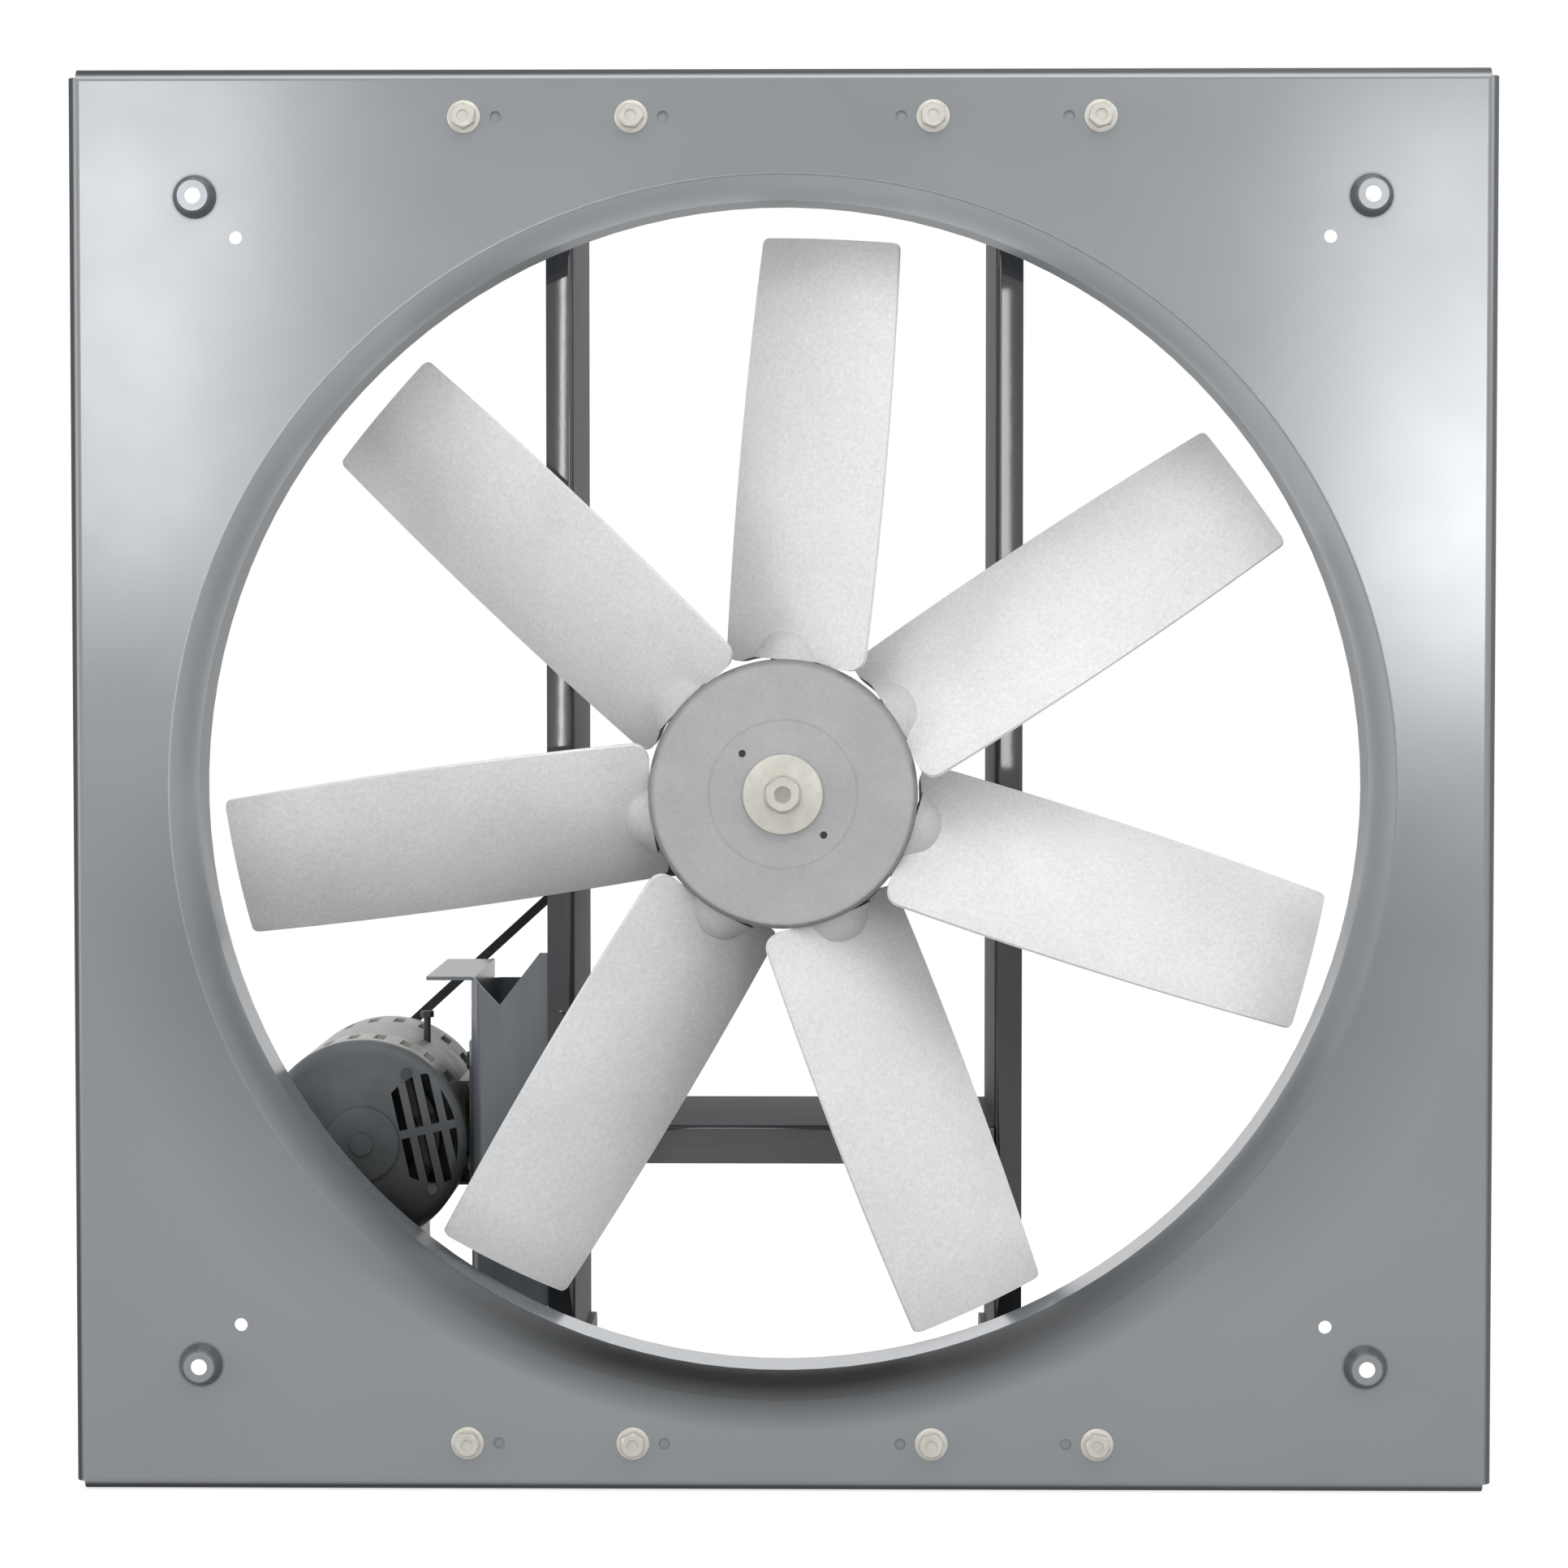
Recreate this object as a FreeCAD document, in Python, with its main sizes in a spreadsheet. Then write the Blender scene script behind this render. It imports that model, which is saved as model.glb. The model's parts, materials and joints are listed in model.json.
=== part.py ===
import math
import os

import FreeCAD
import Part
import Sketcher
from FreeCAD import Placement, Rotation, Vector
from types import SimpleNamespace

# Belt-drive axial panel fan. X is to the right seen from the inlet, Y runs with the air through the
# panel to the drive, Z is up. The origin is the middle of the four wall holes, on the plane of their pads.

# Driving dimensions in millimetres and degrees
SIZES = {
    # Panel with bell mouth
    "panel_size": 1130,
    "sheet_gauge": 2,
    "flange_depth": 50,
    "flange_bend": 10,
    "corner_relief": 7,
    "pad_height": 12,
    "pad_base_dia": 36,
    "pad_land_dia": 24,
    "wall_hole_margin": 101,
    "wall_hole_dia": 13,
    "guard_hole_margin": 133,
    "guard_hole_dia": 10.5,
    "throat_margin": 94,
    "throat_drop": 5,
    "throat_depth": 97,
    "mouth_width": 16,
    "mouth_depth": 47,
    "axis_drop": 10,
    # Bolt rows that hold the four arms on the panel
    "bolt_row_margin": 38.5,
    "outer_bolt_pitch": 502,
    "inner_bolt_pitch": 238,
    "pilot_offset": 25,
    "pilot_hole_dia": 9,
    # Fasteners
    "panel_bolt_dia": 12,
    "panel_bolt_flats": 18,
    "panel_flange_dia": 26,
    "frame_bolt_dia": 10,
    "frame_bolt_flats": 16,
    "small_bolt_dia": 8,
    "small_bolt_flats": 13,
    "screw_dia": 4,
    "screw_flats": 7,
    "bolt_clearance": 0.6,
    "thread_gap": 0.1,
    "thread_spare": 3,
    # Arms from the panel to the rails
    "arm_gauge": 5,
    "arm_foot_width": 200,
    "arm_foot_height": 50,
    "arm_height": 70,
    "arm_corner": 12,
    "rim_gap": 2,
    # Rails and crossbars
    "rail_front": 165,
    "rail_depth": 210,
    "rail_spacing": 350,
    "rail_gauge": 3,
    "rail_flange": 23,
    "rail_bend": 5,
    "rail_bolt_pitch": 90,
    "base_gauge": 5,
    "base_lip": 30,
    "base_inset": 10,
    "crossbar_down": 291,
    "crossbar_gauge": 3,
    "crossbar_lip": 32,
    "crossbar_bolt_pitch": 80,
    # Fan shaft and its pillow-block bearings
    "shaft_dia": 30,
    "shaft_beyond_belt": 27,
    "bearing_inset": 37,
    "bearing_height": 42.9,
    "housing_length": 165,
    "housing_width": 48,
    "housing_foot": 16,
    "housing_collar": 38,
    "housing_radius": 39,
    "housing_bolt_pitch": 121,
    "race_radius": 31,
    "race_width": 19,
    "race_wall": 4.6,
    "sleeve_width": 32,
    "sleeve_wall": 5,
    "ball_dia": 9.6,
    "ball_circle_dia": 46.2,
    "ball_gap": 0.25,
    "key_width": 8,
    "key_height": 7,
    "fit_gap": 0.05,
    # Hub in two halves
    "blade_plane": 108,
    "hub_dia": 218,
    "hub_half_width": 43,
    "hub_bevel": 3.5,
    "bushing_dia": 56,
    "bushing_flange_dia": 84,
    "bushing_flange": 8,
    "clamp_circle_dia": 170,
    "jack_circle_dia": 93,
    "jack_hole_dia": 6,
    "jack_hole_depth": 14,
    "washer_dia": 65,
    "washer_gauge": 6,
    "end_bolt_dia": 16,
    "end_bolt_flats": 27,
    "end_bolt_reach": 38,
    # Blades
    "first_blade_angle": 5,
    "tip_gap": 19,
    "blade_root": 104,
    "root_gap": 2.5,
    "blade_width": 122,
    "root_chord": 150,
    "middle_chord": 143,
    "tip_chord": 125,
    "root_pitch": 40,
    "middle_pitch": 32,
    "tip_pitch": 25,
    "root_thickness": 9,
    "tip_thickness": 6,
    "edge_thickness": 3,
    "blade_sag": 4,
    "root_corner": 16,
    "tip_corner": 9,
    "shank_dia": 40,
    "shank_start": 60,
    "collar_dia": 50,
    "collar_start": 70,
    "collar_width": 14,
    "dome_dia": 58,
    "dome_base": 111,
    "dome_rim": 5,
    "dome_height": 24,
    # Sheaves and belt
    "belt_behind_motor": 33,
    "belt_width": 13,
    "belt_height": 8,
    "belt_above_pitch": 2.8,
    "belt_gap": 0.35,
    "groove_angle": 38,
    "groove_floor": 2,
    "driven_pitch_dia": 135,
    "driver_pitch_dia": 96,
    "sheave_width": 20,
    "sheave_rim": 4.5,
    "sheave_hub_dia": 62,
    "sheave_hub_length": 14,
    "sheave_dish": 5,
    "sheave_rim_wall": 12,
    "driver_hub_dia": 40,
    # Motor
    "motor_across": 352,
    "motor_down": 305,
    "motor_dia": 172,
    "motor_front": 150,
    "motor_length": 222,
    "shell_gauge": 2.5,
    "bell_depth": 62,
    "bell_wall": 5,
    "bell_round": 10,
    "bell_boss_dia": 62,
    "bell_boss_height": 2.5,
    "bell_plug_dia": 19,
    "bell_plug_height": 2,
    "vent_lean": 12.5,
    "vent_pitch": 13.6,
    "vent_width": 7,
    "vent_start": 33,
    "vent_split": 3.5,
    "vent_rim": 6,
    "vent_field_dia": 92,
    "vent_field_across": 62,
    "window_width": 9,
    "window_length": 32,
    "motor_shaft_dia": 15.9,
    "motor_shaft_beyond_belt": 25,
    "bush_wall": 4,
    "bush_length": 22,
    "bush_housing_dia": 38,
    "motor_key": 4.8,
    "core_inset": 3,
    "core_bore": 80,
    "air_gap": 0.4,
    "winding_length": 20,
    "winding_dia": 120,
    "tie_bolt_dia": 5,
    "tie_bolt_flats": 8,
    "tie_inset": 16,
    "stud_angle": 30,
    "stud_dia": 6,
    "stud_flats": 10,
    "stud_height": 26,
    # Motor base and the bracket that slides on the left rail
    "foot_clearance": 2.9,
    "foot_gauge": 2.5,
    "foot_length": 150,
    "foot_width": 164,
    "foot_bolt_pitch": 76.2,
    "foot_bolt_gauge": 124,
    "saddle_spacing": 84,
    "bracket_gauge": 3,
    "bracket_bend": 12,
    "bracket_side_gap": 7,
    "bracket_bottom": 444,
    "bracket_top": 147,
    "bracket_web_top": 168,
    "bracket_rear_top": 185,
    "notch_across": 238.6,
    "notch_down": 191,
    "notch_right": 204.7,
    "tab_reach": 38,
    "tab_inset": 12,
    "slide_gap": 0.3,
    "slide_up": 12,
    "slide_down": 20,
    "clamp_from_web": 14.5,
    "clamp_upper": 202,
    "clamp_lower": 398,
    # Terminal box under the motor
    "box_width": 80,
    "box_length": 90,
    "box_height": 44,
    "box_wall": 2,
    "box_post_dia": 8,
    "conduit_dia": 22,
}

# Counts that make the nodes and patterns what they are
BLADE_COUNT = 7
BALL_COUNT = 9
VENT_COUNT = 4
WINDOW_COUNT = 24
TIE_BOLT_COUNT = 4
HEX_SIDES = 6
JACK_ANGLES = (-45, 135)

# The two places of a pair, as shares of the distance between them
PAIR = (-0.5, 0.5)

# Distance in millimetres under which two points are the same
SAME_POINT = 1e-4

# Bolt proportions as shares of the nominal diameter
HEAD_SHARE = 0.65
NUT_SHARE = 0.9
FLANGE_SHARE = 0.2

DIRECTIONS = {
    "+X": Vector(1, 0, 0),
    "-X": Vector(-1, 0, 0),
    "+Y": Vector(0, 1, 0),
    "-Y": Vector(0, -1, 0),
    "+Z": Vector(0, 0, 1),
    "-Z": Vector(0, 0, -1),
}

doc = FreeCAD.newDocument("belt_drive_axial_fan")
sheet = doc.addObject("Spreadsheet::Sheet", "Sizes")
nodes = {}


class Dim:
    """A size that carries both its value and the sheet formula it comes from."""

    def __init__(self, value, text):
        self.value = value
        self.text = text

    def __add__(self, other):
        other = as_dim(other)
        return Dim(self.value + other.value, f"({self.text} + {other.text})")

    def __sub__(self, other):
        other = as_dim(other)
        return Dim(self.value - other.value, f"({self.text} - {other.text})")

    def __mul__(self, other):
        other = as_dim(other)
        return Dim(self.value * other.value, f"({self.text} * {other.text})")

    def __truediv__(self, other):
        other = as_dim(other)
        return Dim(self.value / other.value, f"({self.text} / {other.text})")

    def __radd__(self, other):
        return as_dim(other) + self

    def __rsub__(self, other):
        return as_dim(other) - self

    def __rmul__(self, other):
        return as_dim(other) * self

    def __neg__(self):
        return Dim(-self.value, f"(0 - {self.text})")


def as_dim(size):
    """A size as it is, or a plain number as a size without a name."""
    if isinstance(size, Dim):
        return size
    return Dim(float(size), f"({float(size):.9f})")


def tangent(angle):
    """The tangent of an angle in degrees, as a size."""
    return Dim(math.tan(math.radians(angle.value)), f"tan({angle.text} * 1 deg)")


def fill_sheet():
    """Write the driving dimensions into the sheet and hand them out as sizes."""
    for row, (alias, value) in enumerate(SIZES.items(), 1):
        sheet.set(f"A{row}", alias)
        sheet.set(f"B{row}", str(value))
        sheet.setAlias(f"B{row}", alias)
    doc.recompute()
    return SimpleNamespace(**{alias: Dim(float(sheet.get(alias)), f"Sizes.{alias}") for alias in SIZES})


d = fill_sheet()

# Places that several pieces share
FACE = d.pad_height
BACK = FACE + d.sheet_gauge
PANEL_HALF = d.panel_size / 2
AXIS_Z = -d.axis_drop
THROAT_Z = -d.throat_drop
THROAT_RADIUS = PANEL_HALF - d.throat_margin
MOUTH_RIM = THROAT_RADIUS + d.mouth_width
MOUTH_ROLL = (d.mouth_width * d.mouth_width + d.mouth_depth * d.mouth_depth) / (d.mouth_width * 2)
RAIL_BACK = d.rail_front + d.rail_depth
RAIL_INNER = d.rail_spacing / 2
RAIL_END = PANEL_HALF - d.flange_bend - d.rim_gap
HUB_FRONT = d.blade_plane - d.hub_half_width
HUB_REAR = d.blade_plane + d.hub_half_width
BLADE_TIP = THROAT_RADIUS - d.tip_gap
MOTOR_X = -d.motor_across
MOTOR_Z = -d.motor_down
MOTOR_RADIUS = d.motor_dia / 2
MOTOR_REAR = d.motor_front + d.motor_length
MOTOR_MIDDLE = d.motor_front + d.motor_length / 2
FOOT_X = MOTOR_X + MOTOR_RADIUS + d.foot_clearance
BELT_PLANE = MOTOR_REAR + d.belt_behind_motor
CLAMP_X = -(RAIL_INNER + d.clamp_from_web)
BASE_TOP = AXIS_Z - d.bearing_height


# Building blocks

def bind(obj, name, size):
    """Tie one property of an object to its sheet formula."""
    obj.setExpression(name, as_dim(size).text)


def place(obj, at, rotation=Rotation()):
    """Put an object at a point given by three sizes."""
    at = [as_dim(size) for size in at]
    obj.Placement = Placement(Vector(*(size.value for size in at)), rotation)
    for axis, size in zip("xyz", at):
        bind(obj, f"Placement.Base.{axis}", size)
    return obj


def primitive(kind, at, rotation=Rotation(), **sizes):
    """A Part primitive with every size tied to the sheet."""
    obj = doc.addObject(f"Part::{kind}", kind)
    for name, size in sizes.items():
        bind(obj, name, size)
    return place(obj, at, rotation)


def ordered(span):
    """The two ends of a span, the lower one first."""
    return sorted((as_dim(size) for size in span), key=lambda size: size.value)


def block(x_span, y_span, z_span):
    """A box between two planes in each direction."""
    lows, highs = zip(*(ordered(span) for span in (x_span, y_span, z_span)))
    length, width, height = (high - low for low, high in zip(lows, highs))
    return primitive("Box", lows, Length=length, Width=width, Height=height)


def turn_to(direction):
    """The rotation that turns the Z axis to a named direction or a vector."""
    if isinstance(direction, str):
        direction = DIRECTIONS[direction]
    return Rotation(Vector(0, 0, 1), direction)


def rod(direction, at, radius, length):
    """A round bar that starts at a point and runs in one direction."""
    return primitive("Cylinder", at, turn_to(direction), Radius=radius, Height=length)


def fuse(*shapes):
    """Several shapes as one."""
    obj = doc.addObject("Part::MultiFuse", "Fuse")
    obj.Shapes = list(shapes)
    obj.Refine = True
    return obj


def group(*shapes):
    """Several solids that stay separate in one node."""
    obj = doc.addObject("Part::Compound", "Group")
    obj.Links = list(shapes)
    return obj


def cut(base, *tools):
    """A shape less one or more others."""
    obj = doc.addObject("Part::Cut", "Cut")
    obj.Base = base
    obj.Tool = tools[0] if len(tools) == 1 else group(*tools)
    return obj


def common(first, second):
    """What two shapes share."""
    obj = doc.addObject("Part::MultiCommon", "Common")
    obj.Shapes = [first, second]
    return obj


def ring(at, outer, inner, length):
    """A plain tube along Y."""
    return cut(rod("+Y", at, outer, length), rod("+Y", at, inner, length))


def keep(label, obj):
    """Register a finished sub-part under the name of its node."""
    obj.Label = label
    nodes[label] = obj


# Sketched bodies

def new_sketch(body, plane):
    """An empty sketch on one of the body's own origin planes."""
    sketch = body.newObject("Sketcher::SketchObject", "Sketch")
    support = next(item for item in body.Origin.OriginFeatures if item.Role == plane)
    sketch.AttachmentSupport = (support, [""])
    sketch.MapMode = "FlatFace"
    return sketch


def fix_point(sketch, geometry, end, point):
    """Hold one point of a sketch at two sizes from its origin."""
    for kind, size in zip(("DistanceX", "DistanceY"), point):
        size = as_dim(size)
        index = sketch.addConstraint(Sketcher.Constraint(kind, -1, 1, geometry, end, size.value))
        bind(sketch, f"Constraints[{index}]", size)


def flat(point):
    """A pair of sizes as a point in the sketch plane."""
    return Vector(as_dim(point[0]).value, as_dim(point[1]).value, 0)


def draw_polygon(sketch, points):
    """A closed outline of straight lines through the points."""
    count = len(points)
    for index, point in enumerate(points):
        following = points[(index + 1) % count]
        sketch.addGeometry(Part.LineSegment(flat(point), flat(following)), False)
    for index, point in enumerate(points):
        sketch.addConstraint(Sketcher.Constraint("Coincident", index, 2, (index + 1) % count, 1))
        fix_point(sketch, index, 1, point)


def round_edges(body, tip, radius, wanted):
    """Fillet the edges of a body that a test picks out."""
    doc.recompute()
    names = [f"Edge{number}" for number, edge in enumerate(tip.Shape.Edges, 1) if wanted(edge)]
    fillet = body.newObject("PartDesign::Fillet", "Fillet")
    fillet.Base = (tip, names)
    bind(fillet, "Radius", radius)
    return fillet


def edge_at(plane, point):
    """A test for the edge of a pad that stands on one corner of its sketch."""
    corner = flat(point)
    across, up = {"XY_Plane": "xy", "XZ_Plane": "xz", "YZ_Plane": "yz"}[plane]

    def test(edge):
        points = [vertex.Point for vertex in edge.Vertexes]
        spots = [Vector(getattr(spot, across), getattr(spot, up), 0) for spot in points]
        return all(spot.distanceToPoint(corner) < SAME_POINT for spot in spots)

    return test


def padded(points, plane, start, length, rounds=()):
    """A sketched outline swept square to its plane from a start, with rounded corners.

    rounds holds pairs of a radius and the numbers of the corners that get it.
    """
    body = doc.addObject("PartDesign::Body", "Body")
    sketch = new_sketch(body, plane)
    draw_polygon(sketch, points)
    pad = body.newObject("PartDesign::Pad", "Pad")
    pad.Profile = sketch
    pad.Reversed = plane == "XZ_Plane"
    bind(pad, "Length", length)
    tip = pad
    for radius, corners in rounds:
        tests = [edge_at(plane, points[corner]) for corner in corners]
        tip = round_edges(body, tip, radius, lambda edge: any(test(edge) for test in tests))
    along = {"XY_Plane": (0, 0, start), "XZ_Plane": (0, start, 0), "YZ_Plane": (start, 0, 0)}[plane]
    return place(body, along)


def turned(points, at, rounds=()):
    """A sketched half section, as radius and distance along Y, spun about an axis along Y.

    rounds holds pairs of a radius and the point of the section whose edge gets it.
    """
    body = doc.addObject("PartDesign::Body", "Body")
    sketch = new_sketch(body, "XY_Plane")
    draw_polygon(sketch, points)
    spin = body.newObject("PartDesign::Revolution", "Revolution")
    spin.Profile = sketch
    spin.ReferenceAxis = (sketch, ["V_Axis"])
    spin.Angle = 360
    tip = spin
    for radius, corner in rounds:
        spot = flat(corner)

        def on_corner(edge):
            return len(edge.Vertexes) == 1 and edge.Vertexes[0].Point.distanceToPoint(spot) < SAME_POINT

        tip = round_edges(body, tip, radius, on_corner)
    return place(body, at)


# Fasteners

def hexagon(direction, at, flats, height):
    """A hexagonal block that starts at a point and runs in one direction."""
    obj = primitive("Prism", at, turn_to(direction), Circumradius=flats / math.sqrt(3), Height=height)
    obj.Polygon = HEX_SIDES
    return obj


def opposite(direction):
    """The named direction that points the other way."""
    return {"+": "-", "-": "+"}[direction[0]] + direction[1]


def moved(at, direction, distance):
    """A point shifted along a named direction."""
    step = DIRECTIONS[direction]
    return tuple(as_dim(size) + distance * share for size, share in zip(at, (step.x, step.y, step.z)))


def bolt(direction, seat, dia, flats, reach, flange_dia=None):
    """A hex bolt whose head sits on a seat, with its shank running in one direction."""
    outward = opposite(direction)
    solids = [rod(direction, seat, dia / 2, reach)]
    head_seat = seat
    if flange_dia is not None:
        flange = dia * FLANGE_SHARE
        solids.append(rod(outward, seat, flange_dia / 2, flange))
        head_seat = moved(seat, outward, flange)
    solids.append(hexagon(outward, head_seat, flats, dia * HEAD_SHARE))
    return fuse(*solids)


def nut(direction, seat, dia, flats):
    """A hex nut that sits on a seat and stands up in one direction."""
    height = dia * NUT_SHARE
    return cut(hexagon(direction, seat, flats, height), rod(direction, seat, dia / 2 + d.thread_gap, height))


def clamp(direction, seat, dia, flats, grip):
    """A bolt and its nut on the two faces of what they hold together."""
    reach = grip + dia * NUT_SHARE + d.thread_spare
    return [
        bolt(direction, seat, dia, flats, reach),
        nut(direction, moved(seat, direction, grip), dia, flats),
    ]


def hole(direction, at, dia, length):
    """The clearance hole for a bolt, as a cutter that starts a little before the face."""
    start = moved(at, opposite(direction), d.thread_spare)
    return rod(direction, start, dia / 2 + d.bolt_clearance, length + 2 * d.thread_spare)


# Panel

def corners(margin):
    """The four points of a square pattern that lies inside the panel's edges by a margin."""
    half = PANEL_HALF - margin
    return [(half * x, half * z) for x in (-1, 1) for z in (-1, 1)]


def panel_bolt_places():
    """Where the eight bolts go through the panel, with the sign of their X."""
    places = []
    for level in (1, -1):
        for side in (-1, 1):
            for pitch in (d.outer_bolt_pitch, d.inner_bolt_pitch):
                places.append((side, pitch * (side / 2), (PANEL_HALF - d.bolt_row_margin) * level))
    return places


def tray(half, front, depth, bend):
    """A square block whose four front edges are rounded like folded sheet."""
    points = [(-half, -half), (half, -half), (half, half), (-half, half)]
    body = padded(points, "XZ_Plane", 0, depth)
    round_edges(body, body.Tip, bend, lambda edge: edge.BoundBox.YMax < SAME_POINT)
    return place(body, (0, front, 0))


def bell_mouth():
    """The rolled inlet: part of a torus shell from a crease in the panel, with the throat behind it."""
    centre = (0, FACE + d.mouth_depth, THROAT_Z)
    middle = THROAT_RADIUS + MOUTH_ROLL
    along_y = turn_to("+Y")
    outside = primitive("Torus", centre, along_y, Radius1=middle, Radius2=MOUTH_ROLL)
    inside = primitive("Torus", centre, along_y, Radius1=middle, Radius2=MOUTH_ROLL - d.sheet_gauge)
    lip = common(cut(outside, inside), rod("+Y", (0, FACE, THROAT_Z), MOUTH_RIM, d.mouth_depth))
    throat = ring(centre, THROAT_RADIUS + d.sheet_gauge, THROAT_RADIUS, d.throat_depth - d.mouth_depth)
    return fuse(lip, throat)


def fan_panel():
    """Folded panel with bell mouth, raised wall pads and all its holes."""
    half = PANEL_HALF
    outer = tray(half, FACE, d.flange_depth, d.flange_bend)
    inner = tray(half - d.sheet_gauge, BACK, d.flange_depth, d.flange_bend - d.sheet_gauge)
    opening = rod("+Y", (0, 0, THROAT_Z), MOUTH_RIM, BACK + d.sheet_gauge)
    reliefs = [
        block((half * x, (half - d.corner_relief) * x), (0, FACE + d.flange_depth),
              (half * z, (half - d.corner_relief) * z))
        for x in (-1, 1) for z in (-1, 1)
    ]
    sheet_metal = cut(outer, inner, opening, *reliefs)
    pads = []
    hollows = []
    for x, z in corners(d.wall_hole_margin):
        base = d.pad_base_dia / 2
        land = d.pad_land_dia / 2
        pads.append(primitive("Cone", (x, BACK, z), turn_to("-Y"), Radius1=base, Radius2=land, Height=BACK))
        hollows.append(primitive("Cone", (x, BACK, z), turn_to("-Y"), Radius1=base - d.sheet_gauge,
                                 Radius2=land - d.sheet_gauge, Height=BACK - d.sheet_gauge))
        hollows.append(rod("+Y", (x, 0, z), d.wall_hole_dia / 2, BACK))
    holes = [rod("+Y", (x, 0, z), d.guard_hole_dia / 2, BACK) for x, z in corners(d.guard_hole_margin)]
    for side, x, z in panel_bolt_places():
        holes.append(hole("+Y", (x, FACE, z), d.panel_bolt_dia, d.sheet_gauge))
        holes.append(rod("+Y", (x - d.pilot_offset * side, 0, z), d.pilot_hole_dia / 2, BACK))
    keep("fan_panel", cut(fuse(sheet_metal, bell_mouth(), *pads), *hollows, *holes))


def panel_fasteners():
    """Flange bolts with their heads on the panel's front, and the nuts on the arms' feet."""
    reach = d.sheet_gauge + d.arm_gauge + d.panel_bolt_dia * NUT_SHARE + d.thread_spare
    bolts = []
    nuts = []
    size = (d.panel_bolt_dia, d.panel_bolt_flats)
    for _, x, z in panel_bolt_places():
        bolts.append(bolt("+Y", (x, FACE, z), *size, reach, d.panel_flange_dia))
        nuts.append(nut("+Y", (x, BACK + d.arm_gauge, z), *size))
    keep("panel_bolts", group(*bolts))
    keep("panel_nuts", group(*nuts))


# Drive frame

def rail_bolt_places(level):
    """Where an arm is bolted to its rail, as Y and Z."""
    middle = d.rail_front + d.rail_depth / 2
    height = (RAIL_END - d.arm_height / 2) * level
    return [(middle + d.rail_bolt_pitch * share, height) for share in PAIR]


def arm(label, side, level):
    """A foot plate on the back of the panel with a web that runs back to the rail."""
    middle = (d.outer_bolt_pitch + d.inner_bolt_pitch) / 4 * side
    half_foot = d.arm_foot_width / 2
    end = RAIL_END * level
    foot = block((middle - half_foot, middle + half_foot), (BACK, BACK + d.arm_gauge),
                 (end, (RAIL_END - d.arm_foot_height) * level))
    inner = (RAIL_END - d.arm_height) * level
    outline = [(BACK, inner), (RAIL_BACK, inner), (RAIL_BACK, end), (BACK, end)]
    face = ordered((RAIL_INNER * side, (RAIL_INNER - d.arm_gauge) * side))
    web = padded(outline, "YZ_Plane", face[0], d.arm_gauge, [(d.arm_corner, (1, 2))])
    holes = [hole("+Y", (x, BACK, z), d.panel_bolt_dia, d.arm_gauge)
             for sign, x, z in panel_bolt_places() if sign == side and z.value * level > 0]
    holes += [hole("+X", (face[0], y, z), d.frame_bolt_dia, d.arm_gauge) for y, z in rail_bolt_places(level)]
    keep(label, cut(fuse(foot, web), *holes))


def crossbar_bolt_places(top, gauge, lip):
    """Where a crossbar is bolted to the rails, as Y and Z."""
    middle = d.rail_front + d.rail_depth / 2
    height = top - (gauge + lip) / 2
    return [(middle + d.crossbar_bolt_pitch * share, height) for share in PAIR]


def web_bolt_places():
    """Every bolt through a rail's web, as Y and Z."""
    places = rail_bolt_places(1) + rail_bolt_places(-1)
    places += crossbar_bolt_places(BASE_TOP, d.base_gauge, d.base_lip)
    places += crossbar_bolt_places(-d.crossbar_down, d.crossbar_gauge, d.crossbar_lip)
    return places


def rail(label, side):
    """An upright channel whose flanges turn away from the shaft."""
    web = RAIL_INNER * side
    back_of_web = (RAIL_INNER + d.rail_gauge) * side
    tip = (RAIL_INNER + d.rail_flange) * side
    front = d.rail_front
    outline = [
        (web, front),
        (tip, front),
        (tip, front + d.rail_gauge),
        (back_of_web, front + d.rail_gauge),
        (back_of_web, RAIL_BACK - d.rail_gauge),
        (tip, RAIL_BACK - d.rail_gauge),
        (tip, RAIL_BACK),
        (web, RAIL_BACK),
    ]
    rounds = [(d.rail_bend, (0, 7)), (d.rail_bend - d.rail_gauge, (3, 4))]
    channel = padded(outline, "XY_Plane", -RAIL_END, RAIL_END * 2, rounds)
    inside = ordered((web, back_of_web))[0]
    holes = [hole("+X", (inside, y, z), d.frame_bolt_dia, d.rail_gauge) for y, z in web_bolt_places()]
    if side < 0:
        for z in (-d.clamp_upper, -d.clamp_lower):
            holes.append(hole("+Y", (CLAMP_X, front, z), d.small_bolt_dia, d.rail_depth))
    keep(label, cut(channel, *holes))


def crossbar(label, top, gauge, lip, inset, holes=()):
    """A folded tray between the rails, with a tab at each end bolted to the rail's web."""
    front = d.rail_front + inset
    rear = RAIL_BACK - inset
    bottom = top - lip
    under = top - gauge
    outline = [
        (front, top),
        (rear, top),
        (rear, bottom),
        (rear - gauge, bottom),
        (rear - gauge, under),
        (front + gauge, under),
        (front + gauge, bottom),
        (front, bottom),
    ]
    shell = padded(outline, "YZ_Plane", -RAIL_INNER, RAIL_INNER * 2, [(d.rail_bend, (0, 1))])
    tabs = [block((RAIL_INNER * side, (RAIL_INNER - gauge) * side), (front, rear), (bottom, under))
            for side in (-1, 1)]
    bores = [hole("+X", (start, y, z), d.frame_bolt_dia, gauge)
             for start in (-RAIL_INNER, RAIL_INNER - gauge) for y, z in crossbar_bolt_places(top, gauge, lip)]
    keep(label, cut(fuse(shell, *tabs), *bores, *holes))


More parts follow.
